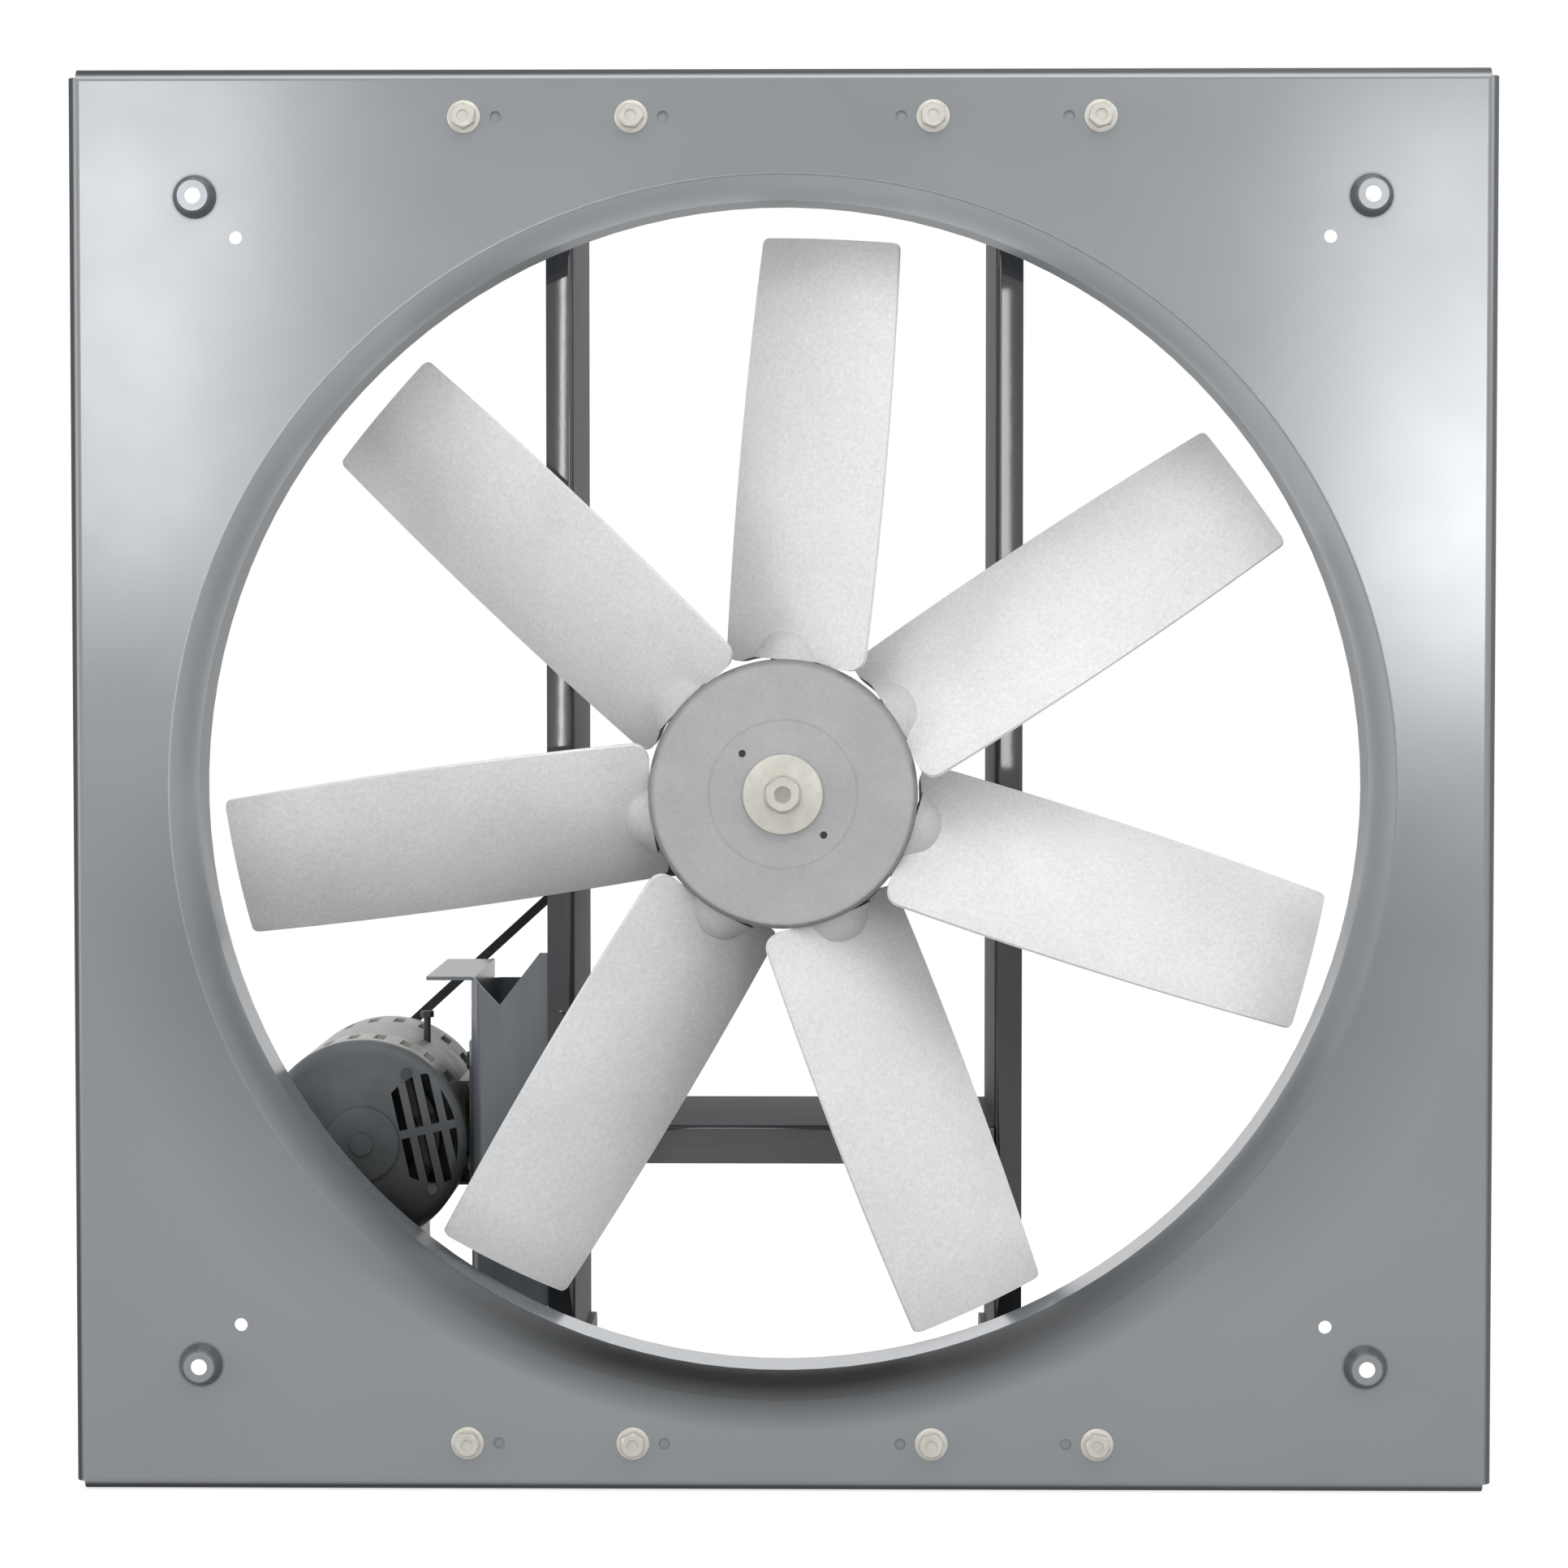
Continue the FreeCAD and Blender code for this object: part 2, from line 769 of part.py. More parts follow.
def web_fasteners(places, gauge):
    """Bolts with their heads in the rails and their nuts on a plate inside the rails."""
    solids = []
    for side, direction in ((-1, "+X"), (1, "-X")):
        for y, z in places:
            seat = ((RAIL_INNER + d.rail_gauge) * side, y, z)
            solids += clamp(direction, seat, d.frame_bolt_dia, d.frame_bolt_flats, d.rail_gauge + gauge)
    return solids


def drive_frame():
    """Arms, rails, crossbars and what bolts them together."""
    for level, height in ((1, "upper"), (-1, "lower")):
        for side, hand in ((-1, "left"), (1, "right")):
            arm(f"{height}_{hand}_arm", side, level)
    rail("left_rail", -1)
    rail("right_rail", 1)
    bearing_holes = [hole("-Z", (x, y, BASE_TOP), d.frame_bolt_dia, d.base_gauge)
                     for x, y in housing_bolt_places()]
    crossbar("bearing_base", BASE_TOP, d.base_gauge, d.base_lip, d.base_inset, bearing_holes)
    crossbar("lower_crossbar", -d.crossbar_down, d.crossbar_gauge, d.crossbar_lip, 0)
    arm_places = rail_bolt_places(1) + rail_bolt_places(-1)
    keep("rail_fasteners", group(*web_fasteners(arm_places, d.arm_gauge)))
    base_places = crossbar_bolt_places(BASE_TOP, d.base_gauge, d.base_lip)
    bar_places = crossbar_bolt_places(-d.crossbar_down, d.crossbar_gauge, d.crossbar_lip)
    keep("crossbar_fasteners", group(*web_fasteners(base_places, d.base_gauge),
                                     *web_fasteners(bar_places, d.crossbar_gauge)))


# Bearings

BEARINGS = (d.rail_front + d.bearing_inset, RAIL_BACK - d.bearing_inset)


def housing_bolt_places():
    """Where the bearing housings are bolted to their base, as X and Y."""
    return [(d.housing_bolt_pitch * share, y) for y in BEARINGS for share in PAIR]


def bearing_housing(label, at):
    """A pillow block: a foot, a round collar and the block between them."""
    half = d.housing_width / 2
    foot = block((-d.housing_length / 2, d.housing_length / 2), (at - half, at + half),
                 (BASE_TOP, BASE_TOP + d.housing_foot))
    start = at - d.housing_collar / 2
    end = start + d.housing_collar
    stand = block((-d.housing_radius, d.housing_radius), (start, end), (BASE_TOP, AXIS_Z))
    collar = rod("+Y", (0, start, AXIS_Z), d.housing_radius, d.housing_collar)
    bore = rod("+Y", (0, at - half, AXIS_Z), d.race_radius + d.fit_gap, d.housing_width)
    bolts = [hole("+Z", (d.housing_bolt_pitch * share, at, BASE_TOP), d.frame_bolt_dia, d.housing_foot)
             for share in PAIR]
    keep(label, cut(fuse(foot, stand, collar), bore, *bolts))


def raceway(at):
    """The ring-shaped groove that the balls run in."""
    return primitive("Torus", (0, at, AXIS_Z), turn_to("+Y"), Radius1=d.ball_circle_dia / 2,
                     Radius2=d.ball_dia / 2 + d.ball_gap)


def bearing_rings():
    """Outer races in the housings, balls, and inner races on the shaft."""
    outers = []
    inners = []
    balls = []
    for at in BEARINGS:
        start = (0, at - d.race_width / 2, AXIS_Z)
        outers.append(cut(ring(start, d.race_radius, d.race_radius - d.race_wall, d.race_width), raceway(at)))
        bore = d.shaft_dia / 2 + d.fit_gap
        sleeve = ring((0, at - d.race_width / 2, AXIS_Z), bore + d.sleeve_wall, bore, d.sleeve_width)
        inners.append(cut(sleeve, raceway(at)))
        for index in range(BALL_COUNT):
            angle = 2 * math.pi * index / BALL_COUNT
            circle = d.ball_circle_dia / 2
            spot = (circle * math.sin(angle), at, AXIS_Z + circle * math.cos(angle))
            balls.append(primitive("Sphere", spot, Radius=d.ball_dia / 2))
    keep("bearing_outer_races", group(*outers))
    keep("bearing_inner_races", group(*inners))
    keep("bearing_balls", group(*balls))


def bearings():
    """Two pillow blocks with their rings and hold-down bolts."""
    bearing_housing("front_bearing_housing", BEARINGS[0])
    bearing_housing("rear_bearing_housing", BEARINGS[1])
    bearing_rings()
    solids = []
    for x, y in housing_bolt_places():
        seat = (x, y, BASE_TOP + d.housing_foot)
        solids += clamp("-Z", seat, d.frame_bolt_dia, d.frame_bolt_flats, d.housing_foot + d.base_gauge)
    keep("bearing_fasteners", group(*solids))


# Fan rotor

def blade_angles(shift=0.0):
    """The turn of each blade in degrees clockwise from straight up, shifted by a share of their pitch."""
    step = 360 / BLADE_COUNT
    return [d.first_blade_angle.value + step * (index + shift) for index in range(BLADE_COUNT)]


def radial_rod(angle, start, radius, length):
    """A round bar in the blade plane that points away from the fan axis."""
    across = math.sin(math.radians(angle))
    up = math.cos(math.radians(angle))
    at = (start * across, d.blade_plane, AXIS_Z + start * up)
    return rod(Vector(across, 0, up), at, radius, length)


def on_circle(angle, dia, y):
    """A point on a circle about the fan axis."""
    radius = dia / 2
    return (radius * math.sin(math.radians(angle)), y, AXIS_Z + radius * math.cos(math.radians(angle)))


def key_slot(at_y, length, width, height, shaft_dia, centre):
    """The space of a key that lies half in the top of a shaft."""
    x, z = centre
    low = z + shaft_dia / 2 - height / 2
    return block((x - width / 2, x + width / 2), (at_y, at_y + length), (low, low + height))


def fan_key_slot(at_y, length, gap):
    """The space of a fan shaft key, larger by a gap on every side that it fits into."""
    width = d.key_width + 2 * gap
    height = d.key_height + 2 * gap
    return key_slot(at_y - gap, length + 2 * gap, width, height, d.shaft_dia, (0, AXIS_Z))


# Each key lies under its hub, a little inside its two ends
HUB_KEY = (HUB_FRONT + d.washer_gauge, d.hub_half_width * 2 - d.washer_gauge)
SHEAVE_KEY = (BELT_PLANE - d.sheave_width / 2, d.sheave_width + d.sheave_hub_length)


def blade_bores():
    """Cutters for the blade shanks and collars, which the two hub halves share."""
    bores = []
    for angle in blade_angles():
        shank = d.shank_start - d.thread_spare
        length = d.hub_dia / 2 - shank + d.thread_spare
        bores.append(radial_rod(angle, shank, d.shank_dia / 2 + d.fit_gap, length))
        bores.append(radial_rod(angle, d.collar_start - d.fit_gap, d.collar_dia / 2 + d.fit_gap,
                                d.collar_width + 2 * d.fit_gap))
    return bores


def hub_half(label, face, holes):
    """One half of the hub, from its outer face to the blade plane, with a bevelled rim."""
    bore = d.bushing_dia / 2 + d.fit_gap
    rim = d.hub_dia / 2
    bevel = d.hub_bevel if face.value < d.blade_plane.value else -d.hub_bevel
    outline = [
        (bore, face),
        (rim - d.hub_bevel, face),
        (rim, face + bevel),
        (rim, d.blade_plane),
        (bore, d.blade_plane),
    ]
    keep(label, cut(turned(outline, (0, 0, AXIS_Z)), *blade_bores(), *holes))


def hub():
    """Two hub halves, the bushing that carries them on the shaft, and the clamp bolts."""
    thread_end = HUB_FRONT + d.hub_bevel
    reach = HUB_REAR - thread_end
    circle = [on_circle(angle, d.clamp_circle_dia, HUB_REAR) for angle in blade_angles(0.5)]
    clearance = d.small_bolt_dia / 2
    jacks = [rod("+Y", on_circle(angle, d.jack_circle_dia, HUB_FRONT), d.jack_hole_dia / 2, d.jack_hole_depth)
             for angle in JACK_ANGLES]
    threads = [rod("-Y", at, clearance + d.thread_gap, reach + d.thread_gap) for at in circle]
    hub_half("hub_front_half", HUB_FRONT, threads + jacks)
    hub_half("hub_rear_half", HUB_REAR, [rod("-Y", at, clearance + d.bolt_clearance, reach) for at in circle])
    bolts = [bolt("-Y", at, d.small_bolt_dia, d.small_bolt_flats, reach) for at in circle]
    keep("hub_clamp_bolts", group(*bolts))
    bore = d.shaft_dia / 2 + d.fit_gap
    outline = [
        (bore, HUB_FRONT + d.washer_gauge),
        (d.bushing_dia / 2, HUB_FRONT + d.washer_gauge),
        (d.bushing_dia / 2, HUB_REAR),
        (d.bushing_flange_dia / 2, HUB_REAR),
        (d.bushing_flange_dia / 2, HUB_REAR + d.bushing_flange),
        (bore, HUB_REAR + d.bushing_flange),
    ]
    keep("hub_bushing", cut(turned(outline, (0, 0, AXIS_Z)), fan_key_slot(*HUB_KEY, d.fit_gap)))
    keep("hub_key", fan_key_slot(*HUB_KEY, as_dim(0)))


def fan_shaft():
    """The fan shaft with its keyways and the tapped hole in its front end."""
    start = HUB_FRONT + d.sheet_gauge
    shaft = rod("+Y", (0, start, AXIS_Z), d.shaft_dia / 2, BELT_PLANE + d.shaft_beyond_belt - start)
    thread = rod("+Y", (0, start, AXIS_Z), d.end_bolt_dia / 2 + d.thread_gap, d.end_bolt_reach)
    slots = [fan_key_slot(*HUB_KEY, d.fit_gap), fan_key_slot(*SHEAVE_KEY, d.fit_gap)]
    keep("fan_shaft", cut(shaft, thread, *slots))


def shaft_end_cap():
    """The large washer on the hub's face and the bolt that holds it."""
    front = HUB_FRONT - d.washer_gauge
    disc = rod("+Y", (0, front, AXIS_Z), d.washer_dia / 2, d.washer_gauge)
    keep("shaft_end_washer", cut(disc, hole("+Y", (0, front, AXIS_Z), d.end_bolt_dia, d.washer_gauge)))
    reach = d.end_bolt_reach
    keep("shaft_end_bolt", bolt("+Y", (0, front, AXIS_Z), d.end_bolt_dia, d.end_bolt_flats, reach))


def blade_section(body, height, chord, pitch, thickness):
    """One cambered section of a blade, square to its length and turned to its pitch."""
    half = chord / 2
    edge = d.edge_thickness / 2
    front_sag = d.blade_sag + thickness
    sketch = new_sketch(body, "XY_Plane")
    sketch.AttachmentOffset = Placement(Vector(0, 0, height.value), Rotation(Vector(0, 0, 1), -pitch.value))
    bind(sketch, "AttachmentOffset.Base.z", height)
    bind(sketch, "AttachmentOffset.Rotation.Angle", -pitch)
    faces = ((-edge, front_sag), (edge, d.blade_sag))
    for level, sag in faces:
        arc = Part.ArcOfCircle(flat((-half, level)), flat((0, level - sag)), flat((half, level)))
        sketch.addGeometry(arc, False)
    for end in (half, -half):
        sketch.addGeometry(Part.LineSegment(flat((end, -edge)), flat((end, edge))), False)
    for line, end in ((2, 2), (3, 1)):
        sketch.addConstraint(Sketcher.Constraint("Coincident", 0, end, line, 1))
        sketch.addConstraint(Sketcher.Constraint("Coincident", 1, end, line, 2))
    for arc, (level, sag) in enumerate(faces):
        fix_point(sketch, arc, 1, (-half, level))
        fix_point(sketch, arc, 2, (half, level))
        radius = (half * half + sag * sag) / (2 * sag)
        index = sketch.addConstraint(Sketcher.Constraint("Radius", arc, radius.value))
        bind(sketch, f"Constraints[{index}]", radius)
    return sketch


def blade_vane():
    """The twisted vane of a blade that stands straight up, trimmed to its rounded outline."""
    body = doc.addObject("PartDesign::Body", "Body")
    middle = (d.blade_root + BLADE_TIP) / 2
    sections = [
        blade_section(body, d.blade_root, d.root_chord, d.root_pitch, d.root_thickness),
        blade_section(body, middle, d.middle_chord, d.middle_pitch, (d.root_thickness + d.tip_thickness) / 2),
        blade_section(body, BLADE_TIP, d.tip_chord, d.tip_pitch, d.tip_thickness),
    ]
    loft = body.newObject("PartDesign::AdditiveLoft", "Loft")
    loft.Profile = sections[0]
    loft.Sections = sections[1:]
    half = d.blade_width / 2
    tip_half = d.tip_chord / 2
    root_half = d.root_chord / 2
    outline = [
        (-half, d.blade_root),
        (half, d.blade_root),
        (tip_half, BLADE_TIP),
        (-tip_half, BLADE_TIP),
    ]
    rounds = [(d.root_corner, (0, 1)), (d.tip_corner, (2, 3))]
    trim = padded(outline, "XZ_Plane", -root_half, root_half * 2, rounds)
    hub_room = rod("+Y", (0, -root_half, 0), d.hub_dia / 2 + d.root_gap, root_half * 2)
    return cut(common(body, trim), hub_room)


def blade_pattern():
    """A whole blade: vane, domed root, shank and the collar that the hub holds."""
    dome = d.dome_dia / 2
    cap_radius = (dome * dome + d.dome_height * d.dome_height) / (2 * d.dome_height)
    cap_base = d.dome_base + d.dome_rim
    ball = primitive("Sphere", (0, 0, cap_base + d.dome_height - cap_radius), Radius=cap_radius)
    cap = common(ball, rod("+Z", (0, 0, cap_base), dome, d.dome_height))
    return fuse(
        blade_vane(),
        rod("+Z", (0, 0, d.dome_base), dome, d.dome_rim),
        cap,
        rod("+Z", (0, 0, d.shank_start), d.shank_dia / 2, d.dome_base - d.shank_start),
        rod("+Z", (0, 0, d.collar_start), d.collar_dia / 2, d.collar_width),
    )


def blades():
    """The blades, turned about the fan axis from one pattern."""
    pattern = blade_pattern()
    for number, angle in enumerate(blade_angles(), 1):
        blade = group(pattern)
        place(blade, (0, d.blade_plane, AXIS_Z), Rotation(Vector(0, 1, 0), angle))
        keep(f"blade_{number}", blade)


# Belt drive

BELT_SLOPE = tangent(d.groove_angle / 2)


def sheave(pitch_dia, bore, hub_dia, dish, centre):
    """A grooved wheel in the belt plane, with its hub towards the shaft's end."""
    pitch = pitch_dia / 2
    rim = pitch + d.sheave_rim
    floor = pitch + d.belt_above_pitch - d.belt_height - d.groove_floor
    half = d.sheave_width / 2
    belt_half = d.belt_width / 2 + d.belt_gap
    wide = belt_half + (d.sheave_rim - d.belt_above_pitch) * BELT_SLOPE
    narrow = belt_half - (d.belt_height + d.groove_floor) * BELT_SLOPE
    hub = hub_dia / 2
    outline = [
        (bore, -half),
        (rim, -half),
        (rim, -wide),
        (floor, -narrow),
        (floor, narrow),
        (rim, wide),
        (rim, half),
        (hub, half),
        (hub, half + d.sheave_hub_length),
        (bore, half + d.sheave_hub_length),
    ]
    x, z = centre
    wheel = turned(outline, (x, BELT_PLANE, z))
    if dish is None:
        return wheel
    inner_rim = floor - d.sheave_rim_wall
    hollows = [ring((x, y, z), inner_rim, hub, dish)
               for y in (BELT_PLANE - half, BELT_PLANE + half - dish)]
    return cut(wheel, *hollows)


def v_belt():
    """The V-belt round both sheaves: two wraps and two straight strands of one section."""
    body = doc.addObject("PartDesign::Body", "Body")
    driven = (0, AXIS_Z)
    driver = (MOTOR_X, MOTOR_Z)
    radii = (d.driven_pitch_dia / 2, d.driver_pitch_dia / 2)
    centres = (flat(driven), flat(driver))
    line = centres[1] - centres[0]
    heading = math.atan2(line.y, line.x)
    lean = math.acos((radii[0].value - radii[1].value) / line.Length)
    upper = heading - lean + 2 * math.pi
    lower = heading + lean + 2 * math.pi

    def on_wheel(wheel, angle):
        return centres[wheel] + Vector(math.cos(angle), math.sin(angle), 0) * radii[wheel].value

    def wrap(wheel, start, end):
        circle = Part.Circle(centres[wheel], Vector(0, 0, 1), radii[wheel].value)
        return Part.ArcOfCircle(circle, start, end)

    path = new_sketch(body, "XZ_Plane")
    right = 2 * math.pi
    path.addGeometry(wrap(0, right, upper + right), False)
    path.addGeometry(Part.LineSegment(on_wheel(0, upper), on_wheel(1, upper)), False)
    path.addGeometry(wrap(1, upper, lower), False)
    path.addGeometry(Part.LineSegment(on_wheel(1, lower), on_wheel(0, lower)), False)
    path.addGeometry(wrap(0, lower, right), False)
    for index, wheel, centre in ((0, 0, driven), (2, 1, driver), (4, 0, driven)):
        fix_point(path, index, 3, centre)
        radius = path.addConstraint(Sketcher.Constraint("Radius", index, radii[wheel].value))
        bind(path, f"Constraints[{radius}]", radii[wheel])
    for index in range(4):
        path.addConstraint(Sketcher.Constraint("Tangent", index, 2, index + 1, 1))
    for index, end in ((0, 1), (4, 2)):
        level = path.addConstraint(Sketcher.Constraint("DistanceY", -1, 1, index, end, AXIS_Z.value))
        bind(path, f"Constraints[{level}]", AXIS_Z)

    section = new_sketch(body, "XY_Plane")
    section.AttachmentOffset = Placement(Vector(0, 0, AXIS_Z.value), Rotation())
    bind(section, "AttachmentOffset.Base.z", AXIS_Z)
    top = radii[0] + d.belt_above_pitch
    half = d.belt_width / 2
    foot = half - d.belt_height * BELT_SLOPE
    floor = top - d.belt_height
    draw_polygon(section, [(top, -half), (top, half), (floor, foot), (floor, -foot)])
    pipe = body.newObject("PartDesign::AdditivePipe", "Pipe")
    pipe.Profile = section
    pipe.Spine = (path, [f"Edge{number}" for number in range(1, 6)])
    keep("v_belt", place(body, (0, BELT_PLANE, 0)))


def belt_drive():
    """Both sheaves with their keys, and the belt."""
    bore = d.shaft_dia / 2 + d.fit_gap
    driven = sheave(d.driven_pitch_dia, bore, d.sheave_hub_dia, d.sheave_dish, (as_dim(0), AXIS_Z))
    keep("driven_sheave", cut(driven, fan_key_slot(*SHEAVE_KEY, d.fit_gap)))
    keep("sheave_key", fan_key_slot(*SHEAVE_KEY, as_dim(0)))
    motor_bore = d.motor_shaft_dia / 2 + d.fit_gap
    driver = sheave(d.driver_pitch_dia, motor_bore, d.driver_hub_dia, None, (MOTOR_X, MOTOR_Z))
    keep("driver_sheave", cut(driver, motor_key_slot(d.fit_gap)))
    keep("motor_key", motor_key_slot(as_dim(0)))
    v_belt()


# Motor

SHELL_BORE = MOTOR_RADIUS - d.shell_gauge
CORE_LENGTH = d.motor_length - 2 * (d.bell_depth + d.core_inset)
CORE_START = MOTOR_MIDDLE - CORE_LENGTH / 2


def motor_key_slot(gap):
    """The space of the motor shaft's key, larger by a gap on every side that it fits into."""
    length = d.sheave_width + d.sheave_hub_length
    return key_slot(BELT_PLANE - d.sheave_width / 2 - gap, length + 2 * gap, d.motor_key + 2 * gap,
                    d.motor_key + 2 * gap, d.motor_shaft_dia, (MOTOR_X, MOTOR_Z))


def motor_axis(y):
    """A point on the motor's axis."""
    return (MOTOR_X, y, MOTOR_Z)


def around_motor(angle, radius, y):
    """A point at a turn clockwise from straight up about the motor's axis."""
    across = math.sin(math.radians(angle))
    up = math.cos(math.radians(angle))
    return (MOTOR_X + radius * across, y, MOTOR_Z + radius * up)


def rim_windows(start):
    """Cutters for the vent windows round the rim of an end bell."""
    windows = []
    inner = MOTOR_RADIUS - d.bell_wall * 2
    for index in range(WINDOW_COUNT):
        angle = 360 * (index + 0.5) / WINDOW_COUNT
        across = math.cos(math.radians(angle))
        down = math.sin(math.radians(angle))
        x, y, z = around_motor(angle, inner, start)
        corner = (x - d.window_width / 2 * across, y, z + d.window_width / 2 * down)
        windows.append(primitive("Box", corner, Rotation(Vector(0, 1, 0), angle), Length=d.window_width,
                                 Width=d.window_length, Height=d.bell_wall * 3))
    return windows


def face_vents():
    """Cutters for the two groups of slits on the right of the front end bell, which lean with the bell."""
    slits = []
    reach = MOTOR_RADIUS - d.vent_rim
    length = d.bell_wall * 3
    for index in range(VENT_COUNT):
        x = d.vent_start + d.vent_pitch * index
        for level in (1, -1):
            slits.append(block((x, x + d.vent_width), (0, length), (d.vent_split * level, reach * level)))
    field = rod("+Y", (d.vent_field_across, 0, 0), d.vent_field_dia / 2, length)
    disc = rod("+Y", (0, 0, 0), reach, length)
    vents = group(common(group(*slits), common(field, disc)))
    lean = Rotation(Vector(0, 1, 0), -d.vent_lean.value)
    return place(vents, motor_axis(d.motor_front - d.bell_wall), lean)


def end_bell_outline(shaft_hole):
    """Half section of an end bell, from its closed face towards the shell."""
    boss = d.bell_boss_dia / 2
    housing = d.bush_housing_dia / 2
    bush = d.motor_shaft_dia / 2 + d.fit_gap + d.bush_wall + d.fit_gap
    inner = MOTOR_RADIUS - d.bell_wall
    return [
        (shaft_hole, -d.bell_boss_height),
        (boss, -d.bell_boss_height),
        (boss, 0),
        (MOTOR_RADIUS, 0),
        (MOTOR_RADIUS, d.bell_depth),
        (inner, d.bell_depth),
        (inner, d.bell_wall),
        (housing, d.bell_wall),
        (housing, d.bell_wall + d.bush_length),
        (bush, d.bell_wall + d.bush_length),
        (bush, d.bell_wall),
        (shaft_hole, d.bell_wall),
    ]


def end_bells():
    """The slotted front bell, closed over the shaft, and the rear bell that the shaft leaves by."""
    rim = [(d.bell_round, (MOTOR_RADIUS, 0))]
    ties = tie_bolt_holes(d.motor_front - d.bell_wall, d.motor_length + d.bell_wall * 2)
    closed = turned(end_bell_outline(as_dim(0)), motor_axis(d.motor_front), rim)
    plug = rod("-Y", motor_axis(d.motor_front), d.bell_plug_dia / 2, d.bell_boss_height + d.bell_plug_height)
    front = fuse(closed, plug)
    window_start = d.motor_front + d.bell_depth - d.bell_wall - d.window_length
    keep("front_end_bell", cut(front, face_vents(), *rim_windows(window_start), *ties))
    front_outline = end_bell_outline(d.motor_shaft_dia / 2 + d.bolt_clearance)
    outline = [(radius, -as_dim(depth)) for radius, depth in front_outline]
    rear = turned(outline, motor_axis(MOTOR_REAR), rim)
    window_start = MOTOR_REAR - d.bell_depth + d.bell_wall
    keep("rear_end_bell", cut(rear, *rim_windows(window_start), *ties))


def tie_angles():
    """The turns of the long bolts that hold the end bells on the shell, which lean with the bells."""
    return [360 * (index + 0.5) / TIE_BOLT_COUNT - d.vent_lean.value for index in range(TIE_BOLT_COUNT)]


def tie_bolt_holes(start, length):
    """Cutters for the tie bolts' clearance holes."""
    radius = d.tie_bolt_dia / 2 + d.bolt_clearance
    places = [around_motor(angle, MOTOR_RADIUS - d.tie_inset, start) for angle in tie_angles()]
    return [rod("+Y", at, radius, length) for at in places]


def motor_stator():
    """Shell, laminated core, windings and tie bolts."""
    start = d.motor_front + d.bell_depth
    keep("motor_shell", ring(motor_axis(start), MOTOR_RADIUS, SHELL_BORE, d.motor_length - d.bell_depth * 2))
    core = ring(motor_axis(CORE_START), SHELL_BORE - d.fit_gap, d.core_bore / 2, CORE_LENGTH)
    keep("stator_core", cut(core, *tie_bolt_holes(CORE_START, CORE_LENGTH)))
    coils = [ring(motor_axis(y), d.winding_dia / 2, d.core_bore / 2 + d.shell_gauge, d.winding_length)
             for y in (CORE_START - d.winding_length, CORE_START + CORE_LENGTH)]
    keep("stator_windings", group(*coils))
    bolts = []
    for angle in tie_angles():
        seat = around_motor(angle, MOTOR_RADIUS - d.tie_inset, d.motor_front)
        bolts += clamp("+Y", seat, d.tie_bolt_dia, d.tie_bolt_flats, d.motor_length)
    keep("motor_tie_bolts", group(*bolts))


def motor_rotor():
    """Shaft, rotor core and the sleeve bearings in the end bells."""
    start = d.motor_front + d.bell_wall + d.thread_gap
    length = BELT_PLANE + d.motor_shaft_beyond_belt - start
    shaft = rod("+Y", motor_axis(start), d.motor_shaft_dia / 2, length)
    keep("motor_shaft", cut(shaft, motor_key_slot(d.fit_gap)))
    core_bore = d.motor_shaft_dia / 2 + d.fit_gap
    keep("rotor_core", ring(motor_axis(CORE_START), d.core_bore / 2 - d.air_gap, core_bore, CORE_LENGTH))
    bushes = [ring(motor_axis(y), core_bore + d.bush_wall, core_bore, d.bush_length)
              for y in (d.motor_front + d.bell_wall, MOTOR_REAR - d.bell_wall - d.bush_length)]
    keep("motor_bearings", group(*bushes))


def earth_stud():
    """The upright stud on top of the shell that takes the earth wire, with its nut."""
    x, y, surface = around_motor(d.stud_angle.value, MOTOR_RADIUS, MOTOR_MIDDLE)
    top = surface + d.stud_height
    nut_height = d.stud_dia * NUT_SHARE
    stem = rod("+Z", (x, y, MOTOR_Z), d.stud_dia / 2, top - MOTOR_Z)
    end = hexagon("+Z", (x, y, top - nut_height), d.stud_flats, nut_height)
    seat = rod("+Y", motor_axis(d.motor_front), MOTOR_RADIUS + d.fit_gap, d.motor_length)
    keep("earth_stud", cut(fuse(stem, end), seat))


def foot_bolt_places():
    """Where the motor's base is bolted to its bracket, as Y and Z."""
    return [(MOTOR_MIDDLE + d.foot_bolt_pitch * along, MOTOR_Z + d.foot_bolt_gauge * up)
            for along in PAIR for up in PAIR]


def motor_base():
    """The foot plate with two saddles that carry the shell, and its bolts through the bracket."""
    half_length = d.foot_length / 2
    y_span = (MOTOR_MIDDLE - half_length, MOTOR_MIDDLE + half_length)
    half_width = d.foot_width / 2
    inner = FOOT_X - d.foot_gauge
    plate = block((inner, FOOT_X), y_span, (MOTOR_Z - half_width, MOTOR_Z + half_width))
    saddles = []
    saddle_span = [MOTOR_MIDDLE + d.foot_bolt_pitch * share for share in PAIR]
    for side in (-1, 1):
        edge = MOTOR_Z + d.saddle_spacing / 2 * side
        saddles.append(block((MOTOR_X, inner), saddle_span, (edge, edge + d.foot_gauge * side)))
    room = rod("+Y", motor_axis(y_span[0]), MOTOR_RADIUS + d.fit_gap, d.foot_length)
    holes = [hole("+X", (inner, y, z), d.small_bolt_dia, d.foot_gauge) for y, z in foot_bolt_places()]
    keep("motor_base", cut(fuse(plate, *saddles), room, *holes))
    grip = d.foot_gauge + d.bracket_gauge
    solids = []
    for y, z in foot_bolt_places():
        solids += clamp("+X", (inner, y, z), d.small_bolt_dia, d.small_bolt_flats, grip)
    keep("motor_base_fasteners", group(*solids))


# Motor bracket on the left rail

BRACKET_FRONT = d.rail_front + d.rail_gauge + d.slide_gap
BRACKET_REAR = RAIL_BACK - d.rail_gauge - d.slide_gap


